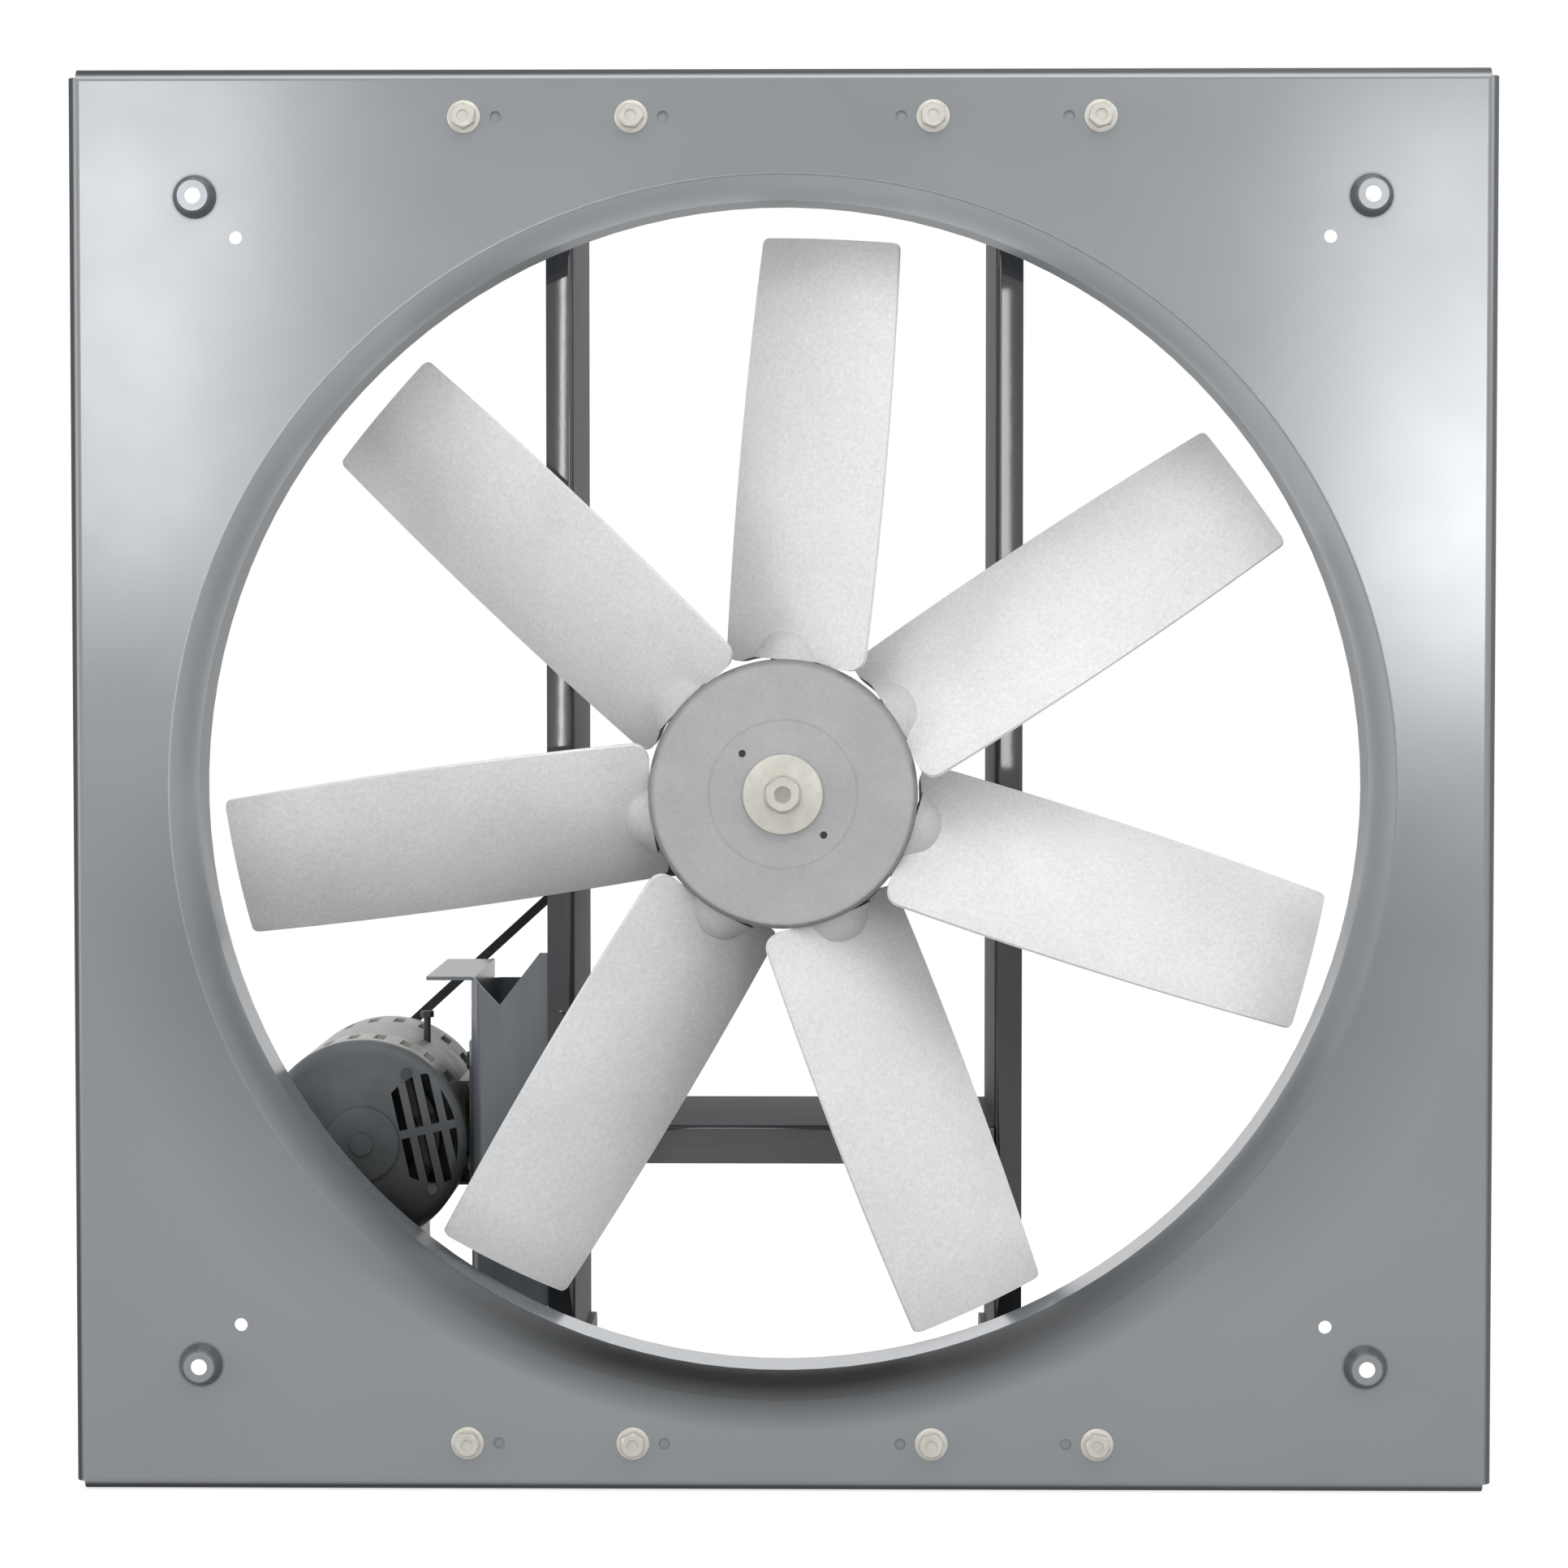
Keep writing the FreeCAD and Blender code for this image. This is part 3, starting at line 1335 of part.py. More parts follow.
def clamp_slots():
    """Cutters for the upright slots that let the bracket slide past its clamp bolts."""
    cutters = []
    radius = d.small_bolt_dia / 2 + d.bolt_clearance
    start = BRACKET_FRONT - d.bracket_gauge
    length = BRACKET_REAR + d.bracket_gauge - start
    for z in (-d.clamp_upper, -d.clamp_lower):
        low = z - d.slide_up
        high = z + d.slide_down
        x = CLAMP_X
        cutters.append(block((x - radius, x + radius), (start, start + length), (low, high)))
        cutters += [rod("+Y", (x, start, end), radius, length) for end in (low, high)]
    return cutters


def motor_bracket():
    """A channel nested in the left rail, with a notched top and a tab above the motor."""
    web = FOOT_X + d.bracket_gauge
    tip = -(RAIL_INNER + d.bracket_side_gap)
    gauge = d.bracket_gauge
    outline = [
        (FOOT_X, BRACKET_FRONT),
        (tip, BRACKET_FRONT),
        (tip, BRACKET_FRONT + gauge),
        (web, BRACKET_FRONT + gauge),
        (web, BRACKET_REAR - gauge),
        (tip, BRACKET_REAR - gauge),
        (tip, BRACKET_REAR),
        (FOOT_X, BRACKET_REAR),
    ]
    rounds = [(d.bracket_bend, (0, 7)), (d.bracket_bend - gauge, (3, 4))]
    bottom = -d.bracket_bottom
    channel = padded(outline, "XY_Plane", bottom, d.bracket_bottom - d.bracket_top, rounds)
    above = d.thread_spare - d.bracket_top
    notch_outline = [
        (FOOT_X - gauge, above),
        (FOOT_X - gauge, -d.bracket_web_top),
        (web, -d.bracket_web_top),
        (-d.notch_across, -d.notch_down),
        (-d.notch_right, -d.bracket_top),
        (-d.notch_right, above),
    ]
    middle = d.rail_front + d.rail_depth / 2
    notch = padded(notch_outline, "XZ_Plane", d.rail_front, d.rail_depth / 2)
    rear_room = block((web, tip), (middle, RAIL_BACK), (-d.bracket_rear_top, above))
    web_room = block((FOOT_X - gauge, web), (d.rail_front, RAIL_BACK), (-d.bracket_web_top, above))
    tab = block((FOOT_X - d.tab_reach, web), (BRACKET_FRONT + d.tab_inset, BRACKET_REAR - d.tab_inset),
                (-d.bracket_web_top - gauge, -d.bracket_web_top))
    holes = [hole("+X", (FOOT_X, y, z), d.small_bolt_dia, gauge) for y, z in foot_bolt_places()]
    folded = cut(channel, notch, rear_room, web_room)
    keep("motor_bracket", cut(fuse(folded, tab), *holes, *clamp_slots()))


def slide_fasteners():
    """Clamp bolts through the rail's flanges and the bracket's slots, with a running gap to the bracket."""
    grip = d.rail_gauge + d.bracket_gauge + 2 * d.slide_gap
    solids = []
    for z in (-d.clamp_upper, -d.clamp_lower):
        for direction, y in (("+Y", d.rail_front), ("-Y", RAIL_BACK)):
            seat = (CLAMP_X, y, z)
            solids += clamp(direction, seat, d.small_bolt_dia, d.small_bolt_flats, grip)
    keep("slide_fasteners", group(*solids))


# Terminal box

def terminal_box():
    """The wiring box under the shell, its cover and screws, with a hole for the supply conduit."""
    half_width = d.box_width / 2
    half_length = d.box_length / 2
    shell_low = MOTOR_Z - MOTOR_RADIUS
    bottom = shell_low - d.box_height
    x_span = (MOTOR_X - half_width, MOTOR_X + half_width)
    y_span = (MOTOR_MIDDLE - half_length, MOTOR_MIDDLE + half_length)
    outer = block(x_span, y_span, (bottom, MOTOR_Z))
    room = rod("+Y", motor_axis(y_span[0]), MOTOR_RADIUS + d.fit_gap, d.box_length)
    wall = d.box_wall
    hollow = block((x_span[0] + wall, x_span[1] - wall), (y_span[0] + wall, y_span[1] - wall),
                   (bottom, shell_low - wall))
    conduit = rod("+X", (x_span[0], MOTOR_MIDDLE, shell_low - d.box_height / 2), d.conduit_dia / 2, wall)
    posts = []
    threads = []
    screws = []
    cover_holes = []
    inset = (wall + d.box_post_dia) / 2
    reach = d.box_height / 2
    for x in (x_span[0] + inset, x_span[1] - inset):
        for y in (y_span[0] + inset, y_span[1] - inset):
            posts.append(rod("+Z", (x, y, bottom), d.box_post_dia / 2, d.box_height - wall))
            threads.append(rod("+Z", (x, y, bottom), d.screw_dia / 2 + d.thread_gap, reach))
            cover_holes.append(hole("+Z", (x, y, bottom - wall), d.screw_dia, wall))
            screws.append(bolt("+Z", (x, y, bottom - wall), d.screw_dia, d.screw_flats, reach))
    box = fuse(cut(outer, room, hollow, conduit), *posts)
    keep("terminal_box", cut(box, *threads))
    cover = block(x_span, y_span, (bottom - wall, bottom))
    keep("terminal_box_cover", cut(cover, *cover_holes))
    keep("terminal_box_screws", group(*screws))


def build():
    """Make every sub-part of the fan."""
    fan_panel()
    panel_fasteners()
    drive_frame()
    bearings()
    hub()
    fan_shaft()
    shaft_end_cap()
    blades()
    belt_drive()
    end_bells()
    motor_stator()
    motor_rotor()
    earth_stud()
    motor_base()
    motor_bracket()
    slide_fasteners()
    terminal_box()
    doc.recompute()


def check():
    """Stop if any object of the document failed or any sub-part has no sound shape."""
    for obj in doc.Objects:
        if "Invalid" in obj.State or "Error" in obj.State:
            raise RuntimeError(f"{obj.Label} failed: {obj.State}")
    for label, obj in nodes.items():
        if obj.Shape.isNull() or not obj.Shape.isValid() or not obj.Shape.Solids:
            raise RuntimeError(f"{label} has no sound solid")


def write():
    """Write one STEP file for each sub-part."""
    os.makedirs("parts", exist_ok=True)
    for label, obj in nodes.items():
        obj.Shape.exportStep(f"parts/{label}.step")
    print(len(nodes), "sub-parts written")


build()
check()
write()
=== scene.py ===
"""Looks of a belt-drive axial panel fan: finer meshes, materials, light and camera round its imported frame."""

import json
import math

import bmesh
import bpy
from mathutils import Matrix, Vector

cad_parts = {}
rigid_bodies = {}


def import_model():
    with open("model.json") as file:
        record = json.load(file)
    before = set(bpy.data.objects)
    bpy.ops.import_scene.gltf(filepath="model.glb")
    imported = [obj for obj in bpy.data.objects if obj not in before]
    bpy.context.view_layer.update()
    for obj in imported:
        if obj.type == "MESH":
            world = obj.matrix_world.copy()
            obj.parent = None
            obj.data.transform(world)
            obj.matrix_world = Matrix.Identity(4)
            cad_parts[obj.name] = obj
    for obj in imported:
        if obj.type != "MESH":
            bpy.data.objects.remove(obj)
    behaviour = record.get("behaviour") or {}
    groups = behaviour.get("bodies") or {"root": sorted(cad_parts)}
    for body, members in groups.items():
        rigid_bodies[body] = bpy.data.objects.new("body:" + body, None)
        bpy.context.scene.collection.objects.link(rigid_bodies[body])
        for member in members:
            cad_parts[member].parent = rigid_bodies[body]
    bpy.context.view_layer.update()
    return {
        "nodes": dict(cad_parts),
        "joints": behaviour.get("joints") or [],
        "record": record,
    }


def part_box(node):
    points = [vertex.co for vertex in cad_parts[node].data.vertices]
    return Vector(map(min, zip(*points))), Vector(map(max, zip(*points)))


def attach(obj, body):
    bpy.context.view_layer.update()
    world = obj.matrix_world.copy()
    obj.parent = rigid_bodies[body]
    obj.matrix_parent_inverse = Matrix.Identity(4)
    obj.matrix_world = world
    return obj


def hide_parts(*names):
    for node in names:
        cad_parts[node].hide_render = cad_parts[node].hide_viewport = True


for leftover in list(bpy.data.objects):
    bpy.data.objects.remove(leftover)

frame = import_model()
scene = bpy.context.scene
nodes = frame["nodes"]
joints = {joint["name"]: joint for joint in frame["joints"]}

# Places read from the frame, in metres
FAN_AXIS = Vector(joints["fan_spin"]["pos_m"])
PANEL_LOW, PANEL_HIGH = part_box("fan_panel")
PANEL_HALF = PANEL_HIGH.x
HUB_LOW, HUB_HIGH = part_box("hub_front_half")
HUB_RADIUS = (HUB_HIGH.x - HUB_LOW.x) / 2
WASHER_LOW, WASHER_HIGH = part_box("shaft_end_washer")
BELL_LOW, BELL_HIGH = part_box("front_end_bell")
BELL_RADIUS = (BELL_HIGH.x - BELL_LOW.x) / 2
MOTOR_AXIS = Vector(joints["motor_spin"]["pos_m"])
RAIL_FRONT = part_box("left_rail")[0].y
BAR_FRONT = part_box("lower_crossbar")[0].y
BRACKET_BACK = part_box("motor_bracket")[1].y
BLADE_NAMES = sorted(name for name in nodes if name.startswith("blade_"))

# Panel, in metres
SHEET_GAUGE = 0.002
PANEL_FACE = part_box("upper_left_arm")[0].y - SHEET_GAUGE
FLANGE_BEND = 0.010
FOLD_BEND = 0.005
THROAT_CENTRE = Vector((0.0, 0.0, -0.005))
THROAT_RADIUS = 0.471
MOUTH_WIDTH = 0.016
MOUTH_DEPTH = 0.047
MOUTH_RIM = THROAT_RADIUS + MOUTH_WIDTH
MOUTH_END = PANEL_FACE + MOUTH_DEPTH
PAD_CENTRE = Vector((0.464, 0.0, 0.464))
PAD_WALL = 0.0155

# Depth of the front end bell's face, painted dark as shade, and of the soft line behind it, in metres
BELL_FACE = 0.012
BELL_BLEND = 0.008

# Blades, in metres and degrees, with three values from the root to the tip
FIRST_BLADE = math.radians(5)
BLADE_ROOT = 0.104
BLADE_TIP = 0.452
CHORDS = (0.150, 0.143, 0.125)
PITCHES = (40.0, 32.0, 25.0)
THICKNESSES = (0.009, 0.0075, 0.006)
EDGE_HALF = 0.0015
BLADE_SAG = 0.004
ROOT_GAP = 0.0022
ROOT_CORNER = 0.021
TIP_CORNER = 0.005
BLADE_COLUMNS = 48
BLADE_ROWS = 60
EDGE_STEPS = 4
SAME_POINT_DIGITS = 7
COLLAR = "collar"

# Radius and height of a blade's root, from the foot of its shank to the top of its collar, in metres
ROOT_PROFILE = (
    (0.0185, 0.0600), (0.0200, 0.0615), (0.0200, 0.0700), (0.0250, 0.0700), (0.0250, 0.0840),
    (0.0200, 0.0840), (0.0200, 0.1082), (0.0355, 0.1082), (0.0350, 0.1095), (0.0330, 0.1120),
    (0.0308, 0.1155), (0.0286, 0.1195), (0.0260, 0.1235), (0.0222, 0.1272), (0.0172, 0.1302),
    (0.0112, 0.1322), (0.0030, 0.1330),
)

# Radius of the line turned in the hub's face, in metres
TURNED_LINE = 0.060

# Fasteners, in metres
PANEL_BOLT = {"dia": 0.012, "flats": 0.018, "flange": 0.013, "reach": 0.0208}
END_BOLT = {"dia": 0.016, "flats": 0.027, "flange": 0.0, "reach": 0.038}
THREAD_PITCH = 0.00175
ROUND_STEPS = 72
CHAMFER_STEPS = 5
HEX_TURN = math.radians(60)
BOLT_TURN = 0.4

# Shares of a bolt's diameter
POINT_RADIUS = 0.38
CREST_RADIUS = 0.5
GROOVE_RADIUS = 0.45
FLANGE_HEIGHT = 0.2
HEAD_HEIGHT = 0.65
CHAMFER_HEIGHT = 0.16
RECESS_DEPTH = 0.1

# Shares of a bolt's width across flats
TOP_RADIUS = 0.47
RECESS_RADIUS = 0.26
RECESS_FLOOR = 0.23

# Radius and height of points on a flange's edge, as shares of the flange's
FLANGE_PROFILE = ((0.97, 0.0), (1.0, 0.2), (1.0, 0.6), (0.9, 1.0))

# A washer's broken edge as a share of its gauge, and how much of it a rounded corner takes off
WASHER_EDGE = 0.25
CORNER_CUT = 0.3

# Colours as pairs, dark and light
PANEL_GREYS = ((0.262, 0.277, 0.291), (0.292, 0.308, 0.323))
BRACKET_BLUES = ((0.135, 0.152, 0.168), (0.165, 0.182, 0.199))
RAIL_BLACKS = ((0.040, 0.044, 0.049), (0.062, 0.067, 0.073))
BAR_BLACKS = ((0.040, 0.045, 0.051), (0.062, 0.068, 0.076))
ZINC_YELLOWS = ((0.53, 0.515, 0.455), (0.63, 0.615, 0.56))
BLADE_WHITES = ((0.80, 0.808, 0.815), (0.90, 0.906, 0.912))
HUB_GREYS = ((0.39, 0.393, 0.396), (0.44, 0.443, 0.446))
BEARING_BLUES = ((0.045, 0.058, 0.068), (0.065, 0.080, 0.092))
IRON_BLACKS = ((0.030, 0.032, 0.034), (0.048, 0.050, 0.053))
MOTOR_GREYS = ((0.34, 0.34, 0.325), (0.385, 0.383, 0.365))
# The end bell's face colour stands for the shell's grey in shade
BELL_SHADE_BLUES = ((0.090, 0.098, 0.104), (0.121, 0.130, 0.136))
BELL_GREYS = ((0.38, 0.38, 0.363), (0.43, 0.428, 0.408))
STEEL_GREYS = ((0.50, 0.50, 0.50), (0.66, 0.66, 0.66))
BELT_BLACKS = ((0.040, 0.042, 0.044), (0.068, 0.071, 0.074))
CORE_BLACKS = ((0.020, 0.020, 0.021), (0.055, 0.055, 0.057))
COPPER_BROWNS = ((0.006, 0.004, 0.003), (0.016, 0.009, 0.006))
BRONZE_BROWNS = ((0.30, 0.19, 0.08), (0.46, 0.31, 0.14))
WHITE = (1.0, 1.0, 1.0, 1.0)

# Range of the noise values that textures use
NOISE_LOW = 0.3
NOISE_HIGH = 0.7

# How a grain is squeezed across its length
UPRIGHT = (24.0, 24.0, 1.0)
LEVEL = (1.0, 24.0, 24.0)

# Camera, in metres and millimetres
CAMERA_PLACE = (0.0414, -3.0, 0.1124)
CAMERA_AIM = (0.0016, 0.012, 0.0003)
CAMERA_LENS = 87.3
CAMERA_SENSOR = 36.0

# Lamps: name, place, width and height in metres, and power in watts
LAMPS = (
    ("left_softbox", (-1.08, -3.0, 0.65), 0.39, 0.90, 5.7),
    ("right_softbox", (1.065, -3.0, 0.51), 0.45, 0.96, 5.7),
    ("right_core", (1.08, -2.98, 0.30), 0.32, 0.42, 2.0),
    ("left_strip", (-0.415, -3.05, 0.30), 0.007, 1.0, 0.36),
    ("right_strip", (0.327, -3.05, 0.30), 0.018, 0.8, 0.42),
    ("left_fill", (-3.0, -0.6, 0.0), 2.2, 2.2, 40.0),
    ("right_fill", (2.7, -0.6, 1.4), 2.2, 2.2, 28.0),
    ("top_light", (0.0, -1.6, 2.4), 2.4, 1.6, 27.0),
)
LAMP_AIM = (0.0, 0.0, 0.0)
AMBIENT = 0.55

# Floor: sizes in metres, colour, own light and roughness
FLOOR_SIZE = 14.0
FLOOR_GAP = 0.0005
FLOOR_GREY = (0.4, 0.4, 0.4, 1.0)
FLOOR_GLOW = 0.73
FLOOR_ROUGHNESS = 0.9

SMOOTH_ANGLE = math.radians(38)
TO_FRONT = Matrix.Rotation(math.radians(90), 4, "X")


# Nodes of a material

class Surface:
    """A material with its principled shader and helpers that add texture nodes in object space."""

    def __init__(self, name, **sockets):
        self.material = bpy.data.materials.new(name)
        self.material.use_nodes = True
        self.tree = self.material.node_tree
        self.shader = self.tree.nodes["Principled BSDF"]
        self.place = self.tree.nodes.new("ShaderNodeTexCoord").outputs["Object"]
        for socket, value in sockets.items():
            self.shader.inputs[socket.replace("_", " ")].default_value = value

    def add(self, kind, inputs=None, **settings):
        """A new node, with its settings, and its inputs set or linked."""
        node = self.tree.nodes.new(f"ShaderNode{kind}")
        for name, value in settings.items():
            setattr(node, name, value)
        for socket, value in (inputs or {}).items():
            if isinstance(value, bpy.types.NodeSocket):
                self.tree.links.new(value, node.inputs[socket])
            else:
                node.inputs[socket].default_value = value
        return node

    def noise(self, scale, detail=4.0, roughness=0.55, place=None):
        """Soft random values between about 0.2 and 0.8."""
        inputs = {"Vector": place or self.place, "Scale": scale, "Detail": detail, "Roughness": roughness}
        return self.add("TexNoise", inputs).outputs["Fac"]

    def stretched(self, factors):
        """The place with each axis scaled, so that a texture runs along the others."""
        return self.add("VectorMath", {0: self.place, 1: factors}, operation="MULTIPLY").outputs["Vector"]

    def axis(self, name):
        """One coordinate of the place."""
        return self.add("SeparateXYZ", {"Vector": self.place}).outputs[name]

    def maths(self, operation, first, second=0.0):
        """One operation on one or two values."""
        return self.add("Math", {0: first, 1: second}, operation=operation).outputs["Value"]

    def product(self, first, *others):
        """Values multiplied together."""
        for other in others:
            first = self.maths("MULTIPLY", first, other)
        return first

    def rest(self, share):
        """What a share leaves of 1."""
        return self.maths("SUBTRACT", 1.0, share)

    def distance(self, value, other):
        """How far apart two values are."""
        return self.maths("ABSOLUTE", self.maths("SUBTRACT", value, other))

    def radius(self, centre, place=None):
        """The distance from an axis along Y."""
        inputs = {0: place or self.place, 1: tuple(centre)}
        moved = self.add("VectorMath", inputs, operation="SUBTRACT").outputs["Vector"]
        flat = self.add("VectorMath", {0: moved, 1: (1.0, 0.0, 1.0)}, operation="MULTIPLY").outputs["Vector"]
        return self.add("VectorMath", {0: flat}, operation="LENGTH").outputs["Value"]

    def span(self, value, low, high, start=NOISE_LOW, end=NOISE_HIGH):
        """A value carried from the range it has to the range that is wanted."""
        inputs = {"Value": value, "From Min": start, "From Max": end, "To Min": low, "To Max": high}
        return self.add("MapRange", inputs).outputs["Result"]

    def faded(self, share, tone):
        """A value that goes from 1 to a tone as a share goes from 0 to 1."""
        return self.span(share, 1.0, tone, 0.0, 1.0)

    def between(self, noise, colours):
        """A colour between a dark and a light one, picked by noise."""
        ramp = self.add("ValToRGB", {"Fac": noise})
        for stop, place, colour in zip(ramp.color_ramp.elements, (NOISE_LOW, NOISE_HIGH), colours):
            stop.position = place
            stop.color = (*colour, 1.0)
        return ramp.outputs["Color"]

    def mixed(self, share, first, second):
        """A colour that goes from one texture to another."""
        return self.add("Mix", {0: share, 6: first, 7: second}, data_type="RGBA").outputs[2]

    def toned(self, colour, tone):
        """A colour made darker or lighter by a value."""
        return self.add("VectorMath", {0: colour, "Scale": tone}, operation="SCALE").outputs["Vector"]

    def colour(self, socket):
        """Send a colour to the shader."""
        self.tree.links.new(socket, self.shader.inputs["Base Color"])

    def rough(self, socket):
        """Send a roughness to the shader."""
        self.tree.links.new(socket, self.shader.inputs["Roughness"])

    def bump(self, height, depth, strength=1.0):
        """Raise the surface by a height map, on top of any bump it has."""
        normal = self.shader.inputs["Normal"]
        earlier = normal.links[0].from_socket if normal.links else None
        node = self.add("Bump", {"Height": height, "Distance": depth, "Strength": strength})
        if earlier:
            self.tree.links.new(earlier, node.inputs["Normal"])
        self.tree.links.new(node.outputs["Normal"], normal)


# Materials

def fold_share(surface):
    """1 on the bend round the panel's outer edge and 0 on its face and flanges."""
    across = surface.maths("ABSOLUTE", surface.axis("X"))
    up = surface.maths("ABSOLUTE", surface.axis("Z"))
    outermost = surface.maths("MAXIMUM", across, up)
    edge = surface.span(outermost, 0.0, 1.0, PANEL_HALF - FLANGE_BEND * 0.7, PANEL_HALF - FLANGE_BEND * 0.4)
    flange = PANEL_FACE + FLANGE_BEND
    front = surface.span(surface.axis("Y"), 1.0, 0.0, flange - FLANGE_BEND * 0.3, flange)
    return surface.product(edge, front)


def fold_shade(surface, fold):
    """Painted shade: darker on the bend, and most of all on the left."""
    tone = surface.span(surface.axis("X"), 0.25, 0.5, -PANEL_HALF, PANEL_HALF)
    return surface.rest(surface.product(fold, surface.rest(tone)))


def pad_shade(surface):
    """Painted shade: darker on the steep wall of each corner pad."""
    corner = surface.add("VectorMath", {0: surface.place}, operation="ABSOLUTE").outputs["Vector"]
    from_wall = surface.distance(surface.radius(PAD_CENTRE, corner), PAD_WALL)
    return surface.span(from_wall, 0.55, 1.0, EDGE_HALF, EDGE_HALF * 2.5)


def lit_share(surface):
    """0 at the foot of the mouth and 1 from its middle upwards."""
    return surface.span(surface.axis("Z"), 0.0, 1.0, -THROAT_RADIUS * 0.9, 0.0)


def mouth_light(surface, lip, throat):
    """Painted light: lighter on the rolled lip, a painted highlight on the left of its crease, and lighter low
    in the throat.
    """
    radius = surface.radius(THROAT_CENTRE)
    lit = lit_share(surface)
    rolled = surface.span(radius, 1.0, 0.0, MOUTH_RIM - EDGE_HALF, MOUTH_RIM)
    gain = surface.span(surface.axis("Z"), 0.4, 0.8, 0.0, THROAT_RADIUS * 0.7)
    light_lip = surface.maths("ADD", 1.0, surface.product(rolled, lip, lit, gain))
    edge = surface.span(surface.distance(radius, MOUTH_RIM), 1.0, 0.0, 0.0, EDGE_HALF)
    left = surface.span(surface.axis("X"), 1.0, 0.0, -THROAT_RADIUS / 2, 0.0)
    # Painted highlight along the crease, on the upper left.
    crease = surface.faded(surface.product(edge, lit, left), 1.5)
    light_throat = surface.faded(surface.maths("SUBTRACT", throat, lit), 1.7)
    return surface.product(light_lip, crease, light_throat)


def mouth_shade(surface, throat):
    """Painted shade round the foot of the mouth, with a soft halo of painted shade round the rest of its lower
    half.
    """
    radius = surface.radius(THROAT_CENTRE)
    height = surface.axis("Z")
    near = surface.span(radius, 1.0, 0.0, MOUTH_RIM - MOUTH_WIDTH * 0.6, MOUTH_RIM + MOUTH_WIDTH * 1.6)
    low = surface.span(height, 1.0, 0.0, -THROAT_RADIUS * 0.98, -THROAT_RADIUS * 0.72)
    shade = surface.faded(surface.product(near, low, surface.rest(throat)), 0.14)
    # Painted shade: a soft halo darkening the panel round the lower half of the mouth.
    around = surface.span(radius, 1.0, 0.0, MOUTH_RIM, MOUTH_RIM + MOUTH_WIDTH * 5)
    lower = surface.span(height, 1.0, 0.0, -THROAT_RADIUS * 0.25, 0.0)
    halo = surface.faded(surface.product(around, lower, surface.rest(low)), 0.8)
    return surface.product(shade, halo)


def panel_paint():
    """Satin metallic paint on rolled sheet: dull on the folds, with painted shade on the folds, the pad walls,
    the lower half and round the foot of the mouth, and painted light, lightest on the rolled lip, on its crease
    and in the throat.
    """
    surface = Surface("panel_paint", Metallic=0.4, Specular_IOR_Level=0.5)
    paint = surface.between(surface.noise(2.2, 3.0), PANEL_GREYS)
    fold = fold_share(surface)
    inside = surface.span(surface.radius(THROAT_CENTRE), 1.0, 0.0, MOUTH_RIM, MOUTH_RIM + EDGE_HALF)
    behind = surface.span(surface.axis("Y"), 0.0, 1.0, MOUTH_END - EDGE_HALF, MOUTH_END)
    throat = surface.product(inside, behind)
    lip = surface.maths("SUBTRACT", inside, throat)
    # Painted shade: the lower half of the panel a little darker.
    lower_half_shade = surface.span(surface.axis("Z"), 0.93, 1.0, -THROAT_RADIUS * 0.4, THROAT_RADIUS * 0.2)
    # Painted shade on the bend round the edge and on the pad walls.
    edges = surface.product(fold_shade(surface, fold), pad_shade(surface))
    # Painted light and painted shade in and round the mouth.
    mouth = surface.product(mouth_light(surface, lip, throat), mouth_shade(surface, throat))
    surface.colour(surface.toned(paint, surface.product(edges, lower_half_shade, mouth)))
    gloss = surface.span(surface.noise(9.0), 0.17, 0.21)
    shaded = surface.maths("MAXIMUM", lip, surface.product(throat, lit_share(surface)))
    dull_fold = surface.span(fold, 0.0, 0.9, 0.0, 1.0)
    dull_mouth = surface.span(shaded, 0.0, 0.5, 0.0, 1.0)
    surface.rough(surface.maths("MAXIMUM", gloss, surface.maths("MAXIMUM", dull_fold, dull_mouth)))
    surface.bump(surface.noise(520.0, 2.0), 0.00003, 0.3)
    return surface.material


def arm_paint():
    """The panel's paint on the arms, with painted shade making them darker towards the rails."""
    surface = Surface("arm_paint", Metallic=0.4, Specular_IOR_Level=0.4)
    paint = surface.between(surface.noise(2.2, 3.0), PANEL_GREYS)
    # Painted shade: darker towards the rails, behind the panel.
    surface.colour(surface.toned(paint, surface.span(surface.axis("Y"), 1.0, 0.25, MOUTH_END, RAIL_FRONT)))
    surface.rough(surface.span(surface.noise(9.0), 0.5, 0.6))
    surface.bump(surface.noise(520.0, 2.0), 0.00003, 0.3)
    return surface.material


def frame_paint(name, colours, grain, gloss, dust_from, low_shade=1.0):
    """Paint on folded steel with faint streaks along it, dusty behind its front, and with painted shade making
    it darker low down.
    """
    surface = Surface(name, Specular_IOR_Level=0.6)
    streaks = surface.noise(3.0, 5.0, place=surface.stretched(grain))
    # Painted shade: darker below the fan's axis.
    tone = surface.span(surface.axis("Z"), low_shade, 1.0, FAN_AXIS.z - THROAT_RADIUS * 0.5, FAN_AXIS.z)
    surface.colour(surface.toned(surface.between(streaks, colours), tone))
    surface.rough(surface.span(surface.axis("Y"), gloss, 0.65, dust_from, dust_from + FOLD_BEND))
    surface.bump(surface.noise(160.0, 2.0), 0.000005, 0.3)
    return surface.material


def zinc():
    """Pale yellowish zinc plating with soft blotches, with painted shade round the end bolt's head and in its
    recess.
    """
    surface = Surface("zinc", Metallic=0.35)
    plating = surface.between(surface.noise(90.0), ZINC_YELLOWS)
    radius = surface.radius(FAN_AXIS)
    flats = END_BOLT["flats"]
    # Painted shade: a dark line round the foot of the end bolt's head, and darker in its recess.
    foot = surface.span(surface.distance(radius, flats * 0.55), 0.78, 1.0, 0.0, EDGE_HALF)
    recess = surface.span(radius, 0.6, 1.0, flats * 0.2, flats * RECESS_RADIUS)
    surface.colour(surface.toned(plating, surface.product(foot, recess)))
    surface.rough(surface.span(surface.noise(240.0), 0.36, 0.50))
    surface.bump(surface.noise(900.0, 2.0), 0.00004, 0.4)
    return surface.material


